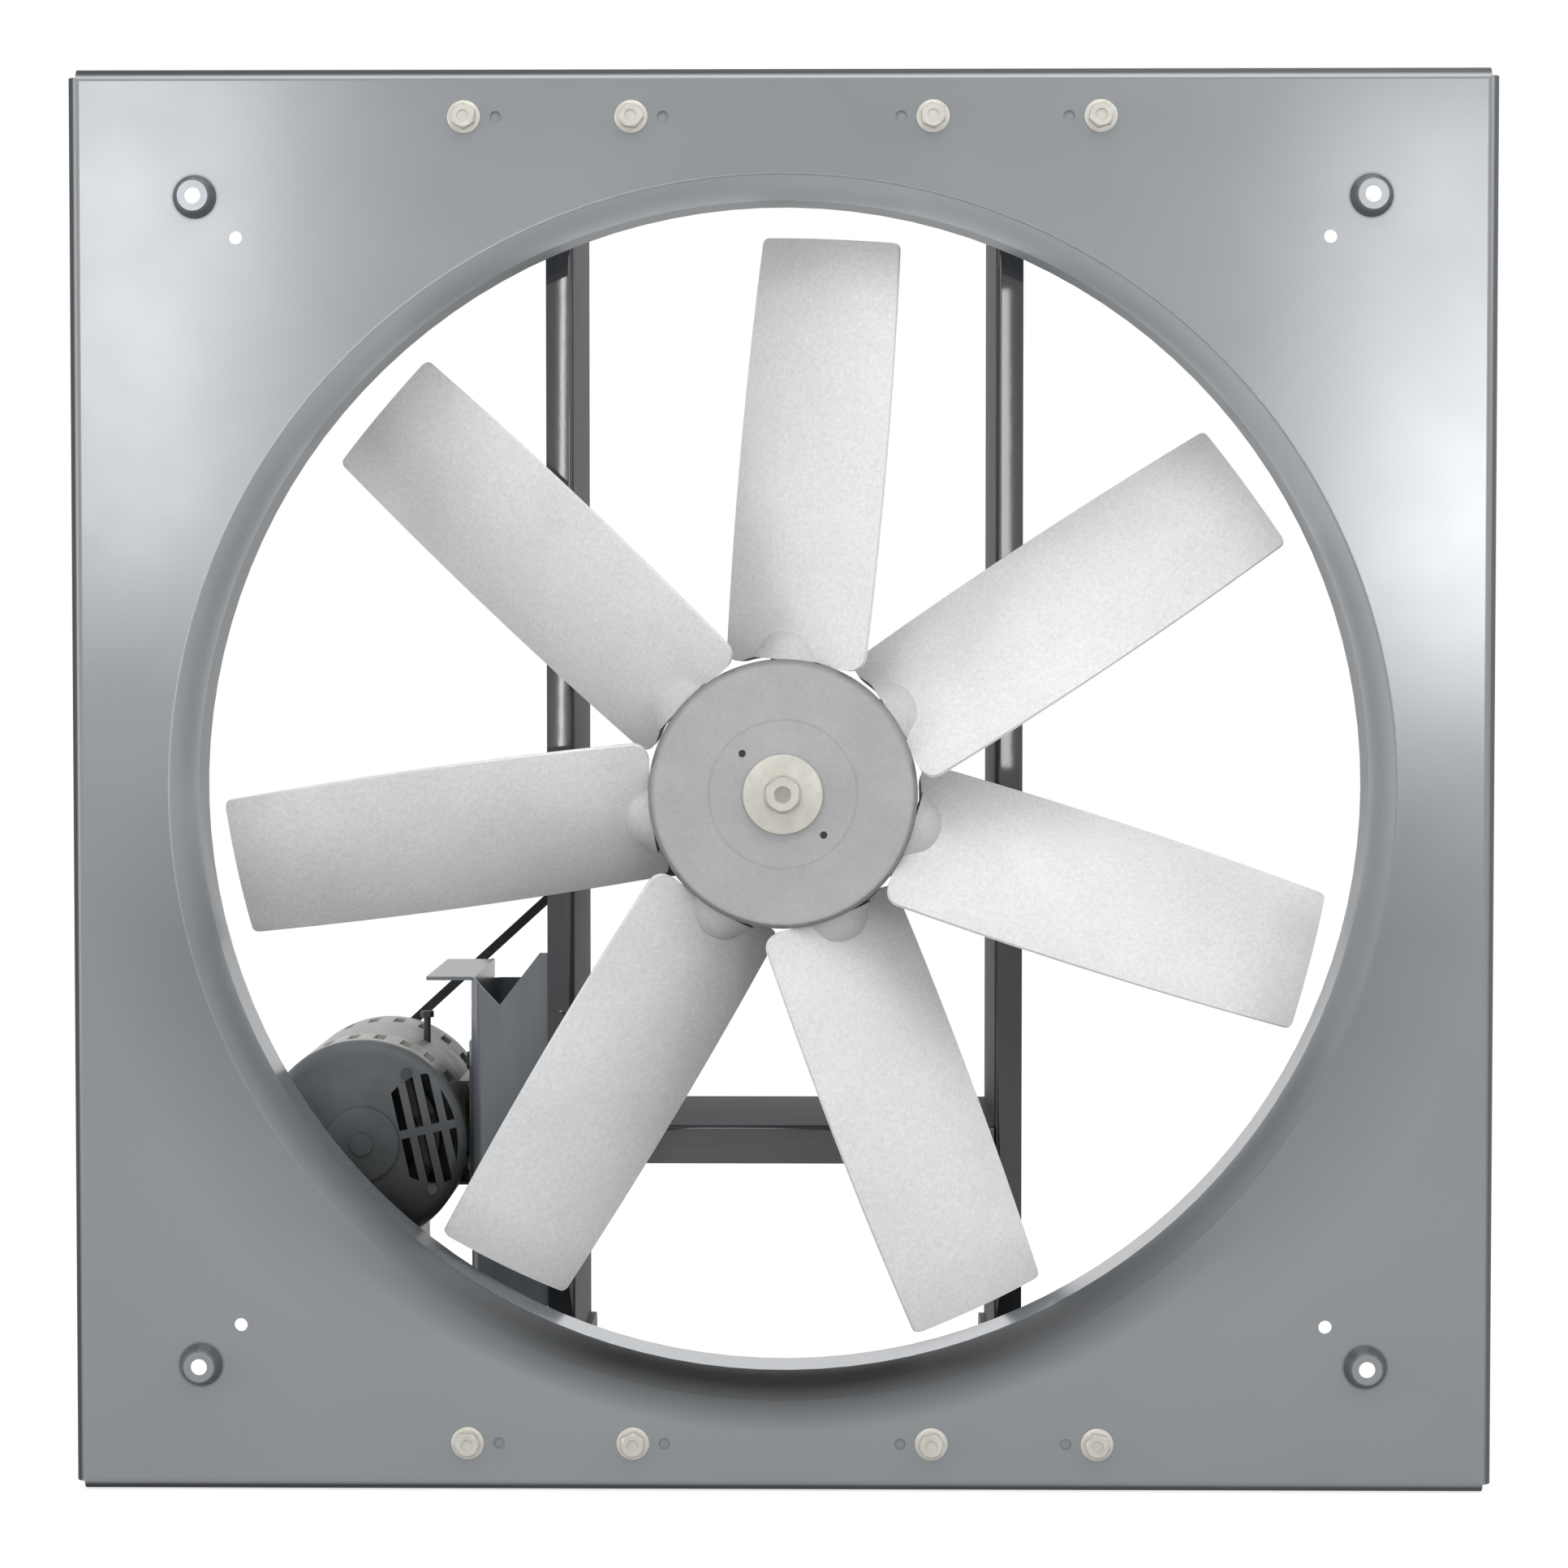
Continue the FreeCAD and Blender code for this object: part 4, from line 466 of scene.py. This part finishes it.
def blade_casting():
    """Sand-cast aluminium: matt, pale and speckled, with painted shade near the hub, at the tip and on the
    collar.
    """
    surface = Surface("blade_casting", Metallic=0.1, Specular_IOR_Level=0.35)
    clouds = surface.between(surface.noise(9.0, 5.0), BLADE_WHITES)
    specks = surface.span(surface.noise(330.0, 3.0, 0.7), 0.90, 1.06)
    radius = surface.radius(FAN_AXIS)
    # Painted shade: darker near the hub, at the tip and on the collar.
    root = surface.span(radius, 0.88, 1.0, HUB_RADIUS, HUB_RADIUS * 1.4)
    tip = surface.span(radius, 1.0, 0.84, BLADE_TIP * 0.9, BLADE_TIP)
    collar = surface.faded(surface.add("Attribute", attribute_name=COLLAR).outputs["Fac"], 0.8)
    surface.colour(surface.toned(clouds, surface.product(specks, root, tip, collar)))
    surface.rough(surface.span(surface.noise(120.0), 0.55, 0.72))
    surface.bump(surface.noise(420.0, 4.0, 0.65), 0.00025, 0.5)
    surface.bump(surface.noise(34.0, 3.0), 0.0006, 0.2)
    return surface.material


def hub_casting():
    """Machined cast aluminium with faint turning rings about the fan's axis, and painted shade on its rounded
    rim.
    """
    surface = Surface("hub_casting", Metallic=0.3, Specular_IOR_Level=0.4)
    radius = surface.radius(FAN_AXIS)
    along = surface.add("CombineXYZ", {"X": radius}).outputs["Vector"]
    rings = surface.noise(1400.0, 2.0, place=along)
    metal = surface.between(surface.noise(22.0, 5.0), HUB_GREYS)
    specks = surface.span(surface.noise(300.0, 3.0, 0.7), 0.93, 1.05)
    # Painted shade on the rounded rim.
    rim = surface.span(radius, 1.0, 0.5, HUB_RADIUS * 0.945, HUB_RADIUS)
    line = surface.span(surface.distance(radius, TURNED_LINE), 0.85, 1.0, 0.0, EDGE_HALF)
    surface.colour(surface.toned(metal, surface.product(specks, rim, line)))
    surface.rough(surface.span(rings, 0.42, 0.54))
    surface.bump(rings, 0.00006, 0.4)
    surface.bump(surface.noise(300.0, 3.0), 0.00008, 0.4)
    return surface.material


def cast_paint(name, colours, smoothest, roughest):
    """Paint over a sand or die casting, a little uneven."""
    surface = Surface(name, Specular_IOR_Level=0.5)
    surface.colour(surface.between(surface.noise(30.0, 5.0), colours))
    surface.rough(surface.span(surface.noise(70.0), smoothest, roughest))
    surface.bump(surface.noise(380.0, 3.0), 0.00012, 0.5)
    return surface.material


def bracket_side_shade(surface):
    """Painted shade: darker on the front half of the motor, on the side towards the bracket."""
    across = surface.maths("SUBTRACT", surface.axis("X"), MOTOR_AXIS.x)
    up = surface.maths("SUBTRACT", surface.axis("Z"), MOTOR_AXIS.z)
    side = surface.span(across, 0.0, 1.0, BELL_RADIUS * 0.55, BELL_RADIUS * 0.75)
    below = surface.span(up, 1.0, 0.0, BELL_RADIUS * 0.7, BELL_RADIUS * 0.82)
    front = surface.span(surface.axis("Y"), 1.0, 0.0, MOTOR_AXIS.y - BELL_RADIUS * 0.5, MOTOR_AXIS.y)
    return surface.faded(surface.product(side, below, front), 0.15)


def motor_paint():
    """Warm grey enamel on the motor's shell and base, with painted shade on the side towards the bracket."""
    surface = Surface("motor_paint", Specular_IOR_Level=0.5)
    enamel = surface.between(surface.noise(30.0, 5.0), MOTOR_GREYS)
    surface.colour(surface.toned(enamel, bracket_side_shade(surface)))
    surface.rough(surface.span(surface.noise(70.0), 0.34, 0.46))
    surface.bump(surface.noise(380.0, 3.0), 0.00012, 0.5)
    return surface.material


def bell_casting():
    """Die-cast end bells: a dark blue-grey face that is painted shade, lighter at its top and darker at its
    bottom, and a rim in the shell's warm grey, with painted light at its top and painted shade low down,
    towards the bracket and in the vents.
    """
    surface = Surface("bell_casting", Specular_IOR_Level=0.2)
    face = surface.between(surface.noise(30.0, 5.0), BELL_SHADE_BLUES)
    rim = surface.between(surface.noise(30.0, 5.0), BELL_GREYS)
    face_end = BELL_LOW.y + BELL_FACE
    share = surface.span(surface.axis("Y"), 0.0, 1.0, face_end, face_end + BELL_BLEND)
    # Painted shade on the vent slits' walls and inside the bell.
    normal = surface.add("NewGeometry").outputs["Normal"]
    facing = surface.maths("ABSOLUTE", surface.add("SeparateXYZ", {"Vector": normal}).outputs["Y"])
    outside = surface.span(surface.radius(MOTOR_AXIS), 0.0, 1.0, BELL_RADIUS * 0.86, BELL_RADIUS * 0.92)
    open_to_light = surface.span(surface.maths("MAXIMUM", facing, outside), 0.08, 1.0, 0.3, 0.6)
    height = surface.axis("Z")
    # Painted light at the top of the face and painted shade at its bottom, and the same on the rim.
    shade = surface.span(height, 0.1, 1.25, BELL_LOW.z + BELL_RADIUS * 0.3, BELL_HIGH.z - BELL_RADIUS * 0.4)
    rim_shade_and_light = surface.span(height, 0.4, 1.25, BELL_LOW.z, BELL_HIGH.z)
    shaded_rim = surface.toned(rim, surface.product(rim_shade_and_light, bracket_side_shade(surface)))
    casting = surface.mixed(share, surface.toned(face, shade), shaded_rim)
    surface.colour(surface.toned(casting, open_to_light))
    surface.rough(surface.span(surface.noise(70.0), 0.36, 0.50))
    surface.bump(surface.noise(380.0, 3.0), 0.00012, 0.5)
    return surface.material


def ground_steel():
    """Ground bar with fine marks round it."""
    surface = Surface("ground_steel", Metallic=1.0)
    surface.colour(surface.between(surface.noise(60.0), STEEL_GREYS))
    marks = surface.noise(1.0, 2.0, place=surface.stretched((40.0, 4000.0, 40.0)))
    surface.rough(surface.span(marks, 0.22, 0.36))
    surface.bump(marks, 0.00002, 0.4)
    return surface.material


def belt_rubber():
    """Cloth-wrapped rubber: black, matt and finely woven."""
    surface = Surface("belt_rubber", Specular_IOR_Level=0.35)
    weave = surface.noise(1500.0, 2.0)
    surface.colour(surface.between(surface.noise(40.0), BELT_BLACKS))
    surface.rough(surface.span(weave, 0.62, 0.85))
    surface.bump(weave, 0.00015, 0.6)
    return surface.material


def core_steel():
    """Stacked laminations, seen as fine lines across the motor's axis."""
    surface = Surface("core_steel", Metallic=0.6)
    sheets = surface.noise(1.0, 2.0, place=surface.stretched((1.0, 1600.0, 1.0)))
    surface.colour(surface.between(sheets, CORE_BLACKS))
    surface.rough(surface.span(surface.noise(90.0), 0.45, 0.6))
    surface.bump(sheets, 0.0002, 0.6)
    return surface.material


def copper_winding():
    """Copper wire under a dark varnish, laid in rings about the motor's axis."""
    surface = Surface("copper_winding", Metallic=0.3, Coat_Weight=0.2)
    wires = surface.noise(1.0, 1.0, place=surface.stretched((700.0, 700.0, 700.0)))
    surface.colour(surface.between(wires, COPPER_BROWNS))
    surface.rough(surface.span(surface.noise(200.0), 0.4, 0.6))
    surface.bump(wires, 0.0005, 0.7)
    return surface.material


def bronze():
    """Sintered bronze bushing, finely porous."""
    surface = Surface("bronze", Metallic=0.9)
    surface.colour(surface.between(surface.noise(800.0), BRONZE_BROWNS))
    surface.rough(surface.span(surface.noise(900.0), 0.35, 0.5))
    surface.bump(surface.noise(2200.0, 1.0), 0.00004, 0.5)
    return surface.material


MATERIALS = {
    "panel_paint": panel_paint(),
    "arm_paint": arm_paint(),
    "frame_paint": frame_paint("frame_paint", BRACKET_BLUES, UPRIGHT, gloss=0.26, dust_from=BRACKET_BACK),
    # The rails get a strong painted shade low down.
    "rail_paint": frame_paint("rail_paint", RAIL_BLACKS, UPRIGHT, 0.025, RAIL_FRONT, low_shade=0.3),
    "bar_paint": frame_paint("bar_paint", BAR_BLACKS, LEVEL, gloss=0.05, dust_from=BAR_FRONT),
    "zinc": zinc(),
    "blade_casting": blade_casting(),
    "hub_casting": hub_casting(),
    "bearing_casting": cast_paint("bearing_casting", BEARING_BLUES, smoothest=0.42, roughest=0.58),
    "sheave_iron": cast_paint("sheave_iron", IRON_BLACKS, smoothest=0.45, roughest=0.62),
    "ground_steel": ground_steel(),
    "belt_rubber": belt_rubber(),
    "motor_paint": motor_paint(),
    "bell_casting": bell_casting(),
    "core_steel": core_steel(),
    "copper_winding": copper_winding(),
    "bronze": bronze(),
}

# Nodes whose finish isn't that of their slot
FINISHES = {
    "arm_paint": ("upper_left_arm", "upper_right_arm", "lower_left_arm", "lower_right_arm"),
    "rail_paint": ("left_rail", "right_rail", "rail_fasteners", "slide_fasteners"),
    "bar_paint": ("bearing_base", "lower_crossbar"),
    "sheave_iron": ("motor_tie_bolts", "motor_base_fasteners", "earth_stud"),
}
FINISH_OF = {name: finish for finish, names in FINISHES.items() for name in names}


def dress_nodes():
    """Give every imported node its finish, and flat shading on its flat faces."""
    for entry in frame["record"]["subparts"]:
        name = entry["node"]
        finish = FINISH_OF.get(name, entry["material_slot"])
        nodes[name].material_slots[0].material = MATERIALS[finish]
        normals = nodes[name].modifiers.new("flat_faces", "WEIGHTED_NORMAL")
        normals.keep_sharp = True


# Mesh work

def ring(radius_at, height):
    """Points round the Z axis at a height, at a distance that may change with the turn."""
    points = []
    for step in range(ROUND_STEPS):
        turn = 2 * math.pi * step / ROUND_STEPS
        radius = radius_at(turn)
        points.append(Vector((radius * math.cos(turn), radius * math.sin(turn), height)))
    return points


def round_ring(radius, height):
    """Points on a circle about the Z axis."""
    return ring(lambda turn: radius, height)


def skin(work, rings, matrix, closed=False):
    """Faces between rings of points, which are capped at both ends or run back to the first ring."""
    loops = [[work.verts.new(matrix @ point) for point in points] for points in rings]
    pairs = list(zip(loops, loops[1:]))
    if closed:
        pairs.append((loops[-1], loops[0]))
    for low, high in pairs:
        for index, vert in enumerate(low):
            work.faces.new((low[index - 1], vert, high[index], high[index - 1]))
    if not closed:
        work.faces.new(loops[0])
        work.faces.new(loops[-1])


def smooth_mesh(name, work):
    """A mesh from finished work, with consistent normals and smooth faces."""
    bmesh.ops.recalc_face_normals(work, faces=work.faces)
    mesh = bpy.data.meshes.new(name)
    work.to_mesh(mesh)
    work.free()
    mesh.shade_smooth()
    mesh.set_sharp_from_angle(angle=SMOOTH_ANGLE)
    return mesh


def finished(name, mesh, slot, body, *stands_for):
    """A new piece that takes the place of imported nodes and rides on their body."""
    piece = bpy.data.objects.new(name, mesh)
    scene.collection.objects.link(piece)
    piece.data.materials.append(MATERIALS[slot])
    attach(piece, body)
    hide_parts(*stands_for)


# Blades

def along_blade(values, share):
    """A size at a share of the blade's length, on a curve through its root, middle and tip values."""
    root, middle, tip = values
    return (root * (1 - share) * (1 - 2 * share) + middle * 4 * share * (1 - share)
            + tip * share * (2 * share - 1))


def vane_point(across, height, face):
    """A point on the front or back of an upright blade, at a share of half its chord."""
    share = (height - BLADE_ROOT) / (BLADE_TIP - BLADE_ROOT)
    pitch = math.radians(along_blade(PITCHES, share))
    x = across * (along_blade(CHORDS, share) / 2 - EDGE_HALF)
    bow = 1 - across * across
    sag = BLADE_SAG + (along_blade(THICKNESSES, share) if face < 0 else 0.0)
    y = EDGE_HALF * face - sag * bow
    turned_x = x * math.cos(pitch) + y * math.sin(pitch)
    turned_y = y * math.cos(pitch) - x * math.sin(pitch)
    return Vector((turned_x, turned_y, height))


def corner_drop(x, half_width, radius):
    """How far a rounded corner falls short of a square one at a distance from the middle."""
    inside = max(0.0, abs(x) - (half_width - radius))
    return radius - math.sqrt(max(0.0, radius * radius - inside * inside))


def vane_ends(across):
    """The heights at which a blade starts and ends, at a share of half its chord."""
    root_half = CHORDS[0] / 2 * math.cos(math.radians(PITCHES[0]))
    tip_half = CHORDS[2] / 2 * math.cos(math.radians(PITCHES[2]))
    clear = HUB_RADIUS + ROOT_GAP
    root_x = across * root_half
    low = math.sqrt(clear ** 2 - root_x ** 2) + corner_drop(root_x, root_half, ROOT_CORNER)
    high = BLADE_TIP - EDGE_HALF - corner_drop(across * tip_half, tip_half, TIP_CORNER)
    return low, high


def vane_grid(face):
    """Rows of points over the front or back of an upright blade."""
    columns = [math.sin(math.pi * (column / BLADE_COLUMNS - 0.5)) for column in range(BLADE_COLUMNS + 1)]
    rows = []
    for row in range(BLADE_ROWS + 1):
        share = row / BLADE_ROWS
        rows.append([])
        for across in columns:
            low, high = vane_ends(across)
            rows[-1].append(vane_point(across, low + (high - low) * share, face))
    return rows


def grid_rim(rows):
    """The outer points of a grid, once round."""
    right = [row[-1] for row in rows[1:]]
    top = list(reversed(rows[-1][:-1]))
    left = [row[0] for row in reversed(rows[1:-1])]
    return rows[0] + right + top + left


def edge_loops(front, back):
    """Loops of points over a blade's rounded edge, from the rim of its front to the rim of its back."""
    middles = [(a + b) / 2 for a, b in zip(front, back)]
    loops = [front]
    for step in range(1, EDGE_STEPS):
        turn = math.pi * (step / EDGE_STEPS - 0.5)
        loop = []
        for index, middle in enumerate(middles):
            half = (back[index] - front[index]) / 2
            along = middles[(index + 1) % len(middles)] - middles[index - 1]
            outward = along.cross(half).normalized()
            loop.append(middle + half * math.sin(turn) + outward * half.length * math.cos(turn))
        loops.append(loop)
    loops.append(back)
    return loops


def add_vane(work, matrix):
    """The twisted vane of a blade with a rounded edge all round."""
    verts = {}

    def vert(point):
        key = tuple(round(value, SAME_POINT_DIGITS) for value in point)
        if key not in verts:
            verts[key] = work.verts.new(matrix @ point)
        return verts[key]

    def add_strip(low, high, first):
        for index in range(first, len(low)):
            corners = (low[index - 1], low[index], high[index], high[index - 1])
            work.faces.new([vert(point) for point in corners])

    front, back = vane_grid(-1), vane_grid(1)
    for rows in (front, back):
        for low, high in zip(rows, rows[1:]):
            add_strip(low, high, 1)
    loops = edge_loops(grid_rim(front), grid_rim(back))
    for low, high in zip(loops, loops[1:]):
        add_strip(low, high, 0)


def blades():
    """Seven cast blades, each with its vane, bell-shaped collar and shank."""
    for number, name in enumerate(BLADE_NAMES):
        turn = Matrix.Rotation(FIRST_BLADE + 2 * math.pi * number / len(BLADE_NAMES), 4, "Y")
        matrix = Matrix.Translation(FAN_AXIS) @ turn
        work = bmesh.new()
        add_vane(work, matrix)
        vane_size = len(work.verts)
        skin(work, [round_ring(radius, height) for radius, height in ROOT_PROFILE], matrix)
        collar = work.verts.layers.float.new(COLLAR)
        for vert in list(work.verts)[vane_size:]:
            vert[collar] = 1.0
        finished(f"cast_{name}", smooth_mesh(f"cast_{name}", work), "blade_casting", "fan_rotor", name)


# Fasteners

def hex_radius(flats, turn):
    """The distance from the middle of a hexagon to its side."""
    return flats / 2 / math.cos((turn + HEX_TURN / 2) % HEX_TURN - HEX_TURN / 2)


def head_rings(dia, flats, seat):
    """Rings of a chamfered hexagon head from its seat to the recess in its top."""
    height = seat + dia * HEAD_HEIGHT
    chamfer = dia * CHAMFER_HEIGHT
    corner = hex_radius(flats, HEX_TURN / 2)
    rings = [ring(lambda turn: hex_radius(flats, turn), seat)]
    for step in range(CHAMFER_STEPS + 1):
        share = step / CHAMFER_STEPS
        limit = corner + (flats * TOP_RADIUS - corner) * share
        rings.append(ring(lambda turn: min(hex_radius(flats, turn), limit), height - chamfer * (1 - share)))
    rings.append(round_ring(flats * RECESS_RADIUS, height))
    rings.append(round_ring(flats * RECESS_FLOOR, height - dia * RECESS_DEPTH))
    return rings


def bolt_rings(dia, flats, flange, reach):
    """Rings of a threaded bolt from the end of its shank, over its flange if it has one, to its head."""
    rings = [round_ring(dia * POINT_RADIUS, -reach)]
    turns = int(reach / THREAD_PITCH)
    for step in range(2 * turns):
        radius = CREST_RADIUS if step % 2 == 0 else GROOVE_RADIUS
        rings.append(round_ring(dia * radius, -reach + THREAD_PITCH * (step + 1) / 2))
    seat = 0.0
    if flange:
        seat = dia * FLANGE_HEIGHT
        rings += [round_ring(flange * radius, seat * level) for radius, level in FLANGE_PROFILE]
    return rings + head_rings(dia, flats, seat)


def island_centres(name):
    """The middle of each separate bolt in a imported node, as X and Z."""
    groups = []
    for vertex in nodes[name].data.vertices:
        for members in groups:
            if (members[0] - vertex.co).xz.length < PANEL_BOLT["flange"] * 2:
                members.append(vertex.co)
                break
        else:
            groups.append([vertex.co])
    centres = []
    for members in groups:
        xs = [point.x for point in members]
        zs = [point.z for point in members]
        centres.append(((min(xs) + max(xs)) / 2, (min(zs) + max(zs)) / 2))
    return centres


def panel_bolts():
    """Eight flange bolts with their heads on the panel's front, each turned a little differently."""
    work = bmesh.new()
    for number, (x, z) in enumerate(island_centres("panel_bolts")):
        turn = Matrix.Rotation(BOLT_TURN * number, 4, "Z")
        skin(work, bolt_rings(**PANEL_BOLT), Matrix.Translation((x, PANEL_FACE, z)) @ TO_FRONT @ turn)
    finished("flange_bolts", smooth_mesh("flange_bolts", work), "zinc", "frame", "panel_bolts")


def end_cap():
    """The washer on the hub's face, with broken edges, and the bolt that holds it."""
    radius = (WASHER_HIGH.x - WASHER_LOW.x) / 2
    gauge = WASHER_HIGH.y - WASHER_LOW.y
    edge = gauge * WASHER_EDGE
    cut = edge * CORNER_CUT
    hole = END_BOLT["dia"] / 2 + EDGE_HALF / 2
    profile = ((hole, 0.0), (radius - edge / 2, 0.0), (radius, edge / 2), (radius, gauge - edge),
               (radius - cut, gauge - cut), (radius - edge, gauge), (hole, gauge))
    washer = bmesh.new()
    matrix = Matrix.Translation((FAN_AXIS.x, WASHER_HIGH.y, FAN_AXIS.z)) @ TO_FRONT
    skin(washer, [round_ring(*point) for point in profile], matrix, closed=True)
    finished("end_washer", smooth_mesh("end_washer", washer), "zinc", "fan_rotor", "shaft_end_washer")
    bolt = bmesh.new()
    matrix = Matrix.Translation((FAN_AXIS.x, WASHER_LOW.y, FAN_AXIS.z)) @ TO_FRONT
    skin(bolt, bolt_rings(**END_BOLT), matrix)
    finished("end_bolt", smooth_mesh("end_bolt", bolt), "zinc", "fan_rotor", "shaft_end_bolt")


# Light, floor and camera

def look_at(obj, target):
    """Turn a lamp or camera to face a point."""
    obj.rotation_euler = (Vector(target) - obj.location).to_track_quat("-Z", "Y").to_euler()


def softbox(name, place, width, height, power):
    """A rectangular area lamp that faces the middle of the panel."""
    lamp = bpy.data.lights.new(name, "AREA")
    lamp.shape = "RECTANGLE"
    lamp.size = width
    lamp.size_y = height
    lamp.energy = power
    obj = bpy.data.objects.new(name, lamp)
    obj.location = place
    scene.collection.objects.link(obj)
    look_at(obj, LAMP_AIM)


def seen_directly(tree):
    """1 where the camera, a mirror or glass looks straight at a surface, else 0."""
    path = tree.nodes.new("ShaderNodeLightPath")
    first = tree.nodes.new("ShaderNodeMath")
    first.operation = "MAXIMUM"
    tree.links.new(path.outputs["Is Camera Ray"], first.inputs[0])
    tree.links.new(path.outputs["Is Glossy Ray"], first.inputs[1])
    second = tree.nodes.new("ShaderNodeMath")
    second.operation = "MAXIMUM"
    tree.links.new(first.outputs[0], second.inputs[0])
    tree.links.new(path.outputs["Is Transmission Ray"], second.inputs[1])
    return second.outputs[0]


def white_world():
    """A world that looks white and lights the object softly."""
    world = bpy.data.worlds.new("studio")
    world.use_nodes = True
    tree = world.node_tree
    soft = tree.nodes["Background"]
    soft.inputs["Color"].default_value = WHITE
    soft.inputs["Strength"].default_value = AMBIENT
    white = tree.nodes.new("ShaderNodeBackground")
    white.inputs["Color"].default_value = WHITE
    white.inputs["Strength"].default_value = 1.0
    mix = tree.nodes.new("ShaderNodeMixShader")
    tree.links.new(seen_directly(tree), mix.inputs["Fac"])
    tree.links.new(soft.outputs[0], mix.inputs[1])
    tree.links.new(white.outputs[0], mix.inputs[2])
    tree.links.new(mix.outputs[0], tree.nodes["World Output"].inputs["Surface"])
    scene.world = world


def pale_floor():
    """A plain floor that glows just enough to look white and still shows the object's shadow."""
    material = bpy.data.materials.new("floor")
    material.use_nodes = True
    tree = material.node_tree
    shader = tree.nodes["Principled BSDF"]
    shader.inputs["Base Color"].default_value = FLOOR_GREY
    shader.inputs["Roughness"].default_value = FLOOR_ROUGHNESS
    shader.inputs["Emission Color"].default_value = WHITE
    share = tree.nodes.new("ShaderNodeMath")
    share.operation = "MULTIPLY"
    share.inputs[1].default_value = FLOOR_GLOW
    tree.links.new(seen_directly(tree), share.inputs[0])
    tree.links.new(share.outputs[0], shader.inputs["Emission Strength"])
    work = bmesh.new()
    bmesh.ops.create_grid(work, x_segments=1, y_segments=1, size=FLOOR_SIZE / 2)
    mesh = bpy.data.meshes.new("floor")
    work.to_mesh(mesh)
    work.free()
    mesh.materials.append(material)
    floor = bpy.data.objects.new("floor", mesh)
    floor.location.z = PANEL_LOW.z - FLOOR_GAP
    scene.collection.objects.link(floor)


def studio():
    """Softboxes in front, strips that the rails reflect, a light overhead, a white world and the floor."""
    for lamp in LAMPS:
        softbox(*lamp)
    white_world()
    pale_floor()
    scene.view_settings.view_transform = "Standard"


def photo_camera():
    """The camera in front of the panel, a little above and to the right of its middle."""
    data = bpy.data.cameras.new("camera")
    data.lens = CAMERA_LENS
    data.sensor_width = CAMERA_SENSOR
    camera = bpy.data.objects.new("camera", data)
    camera.location = CAMERA_PLACE
    scene.collection.objects.link(camera)
    look_at(camera, CAMERA_AIM)
    scene.camera = camera


dress_nodes()
blades()
panel_bolts()
end_cap()
studio()
photo_camera()
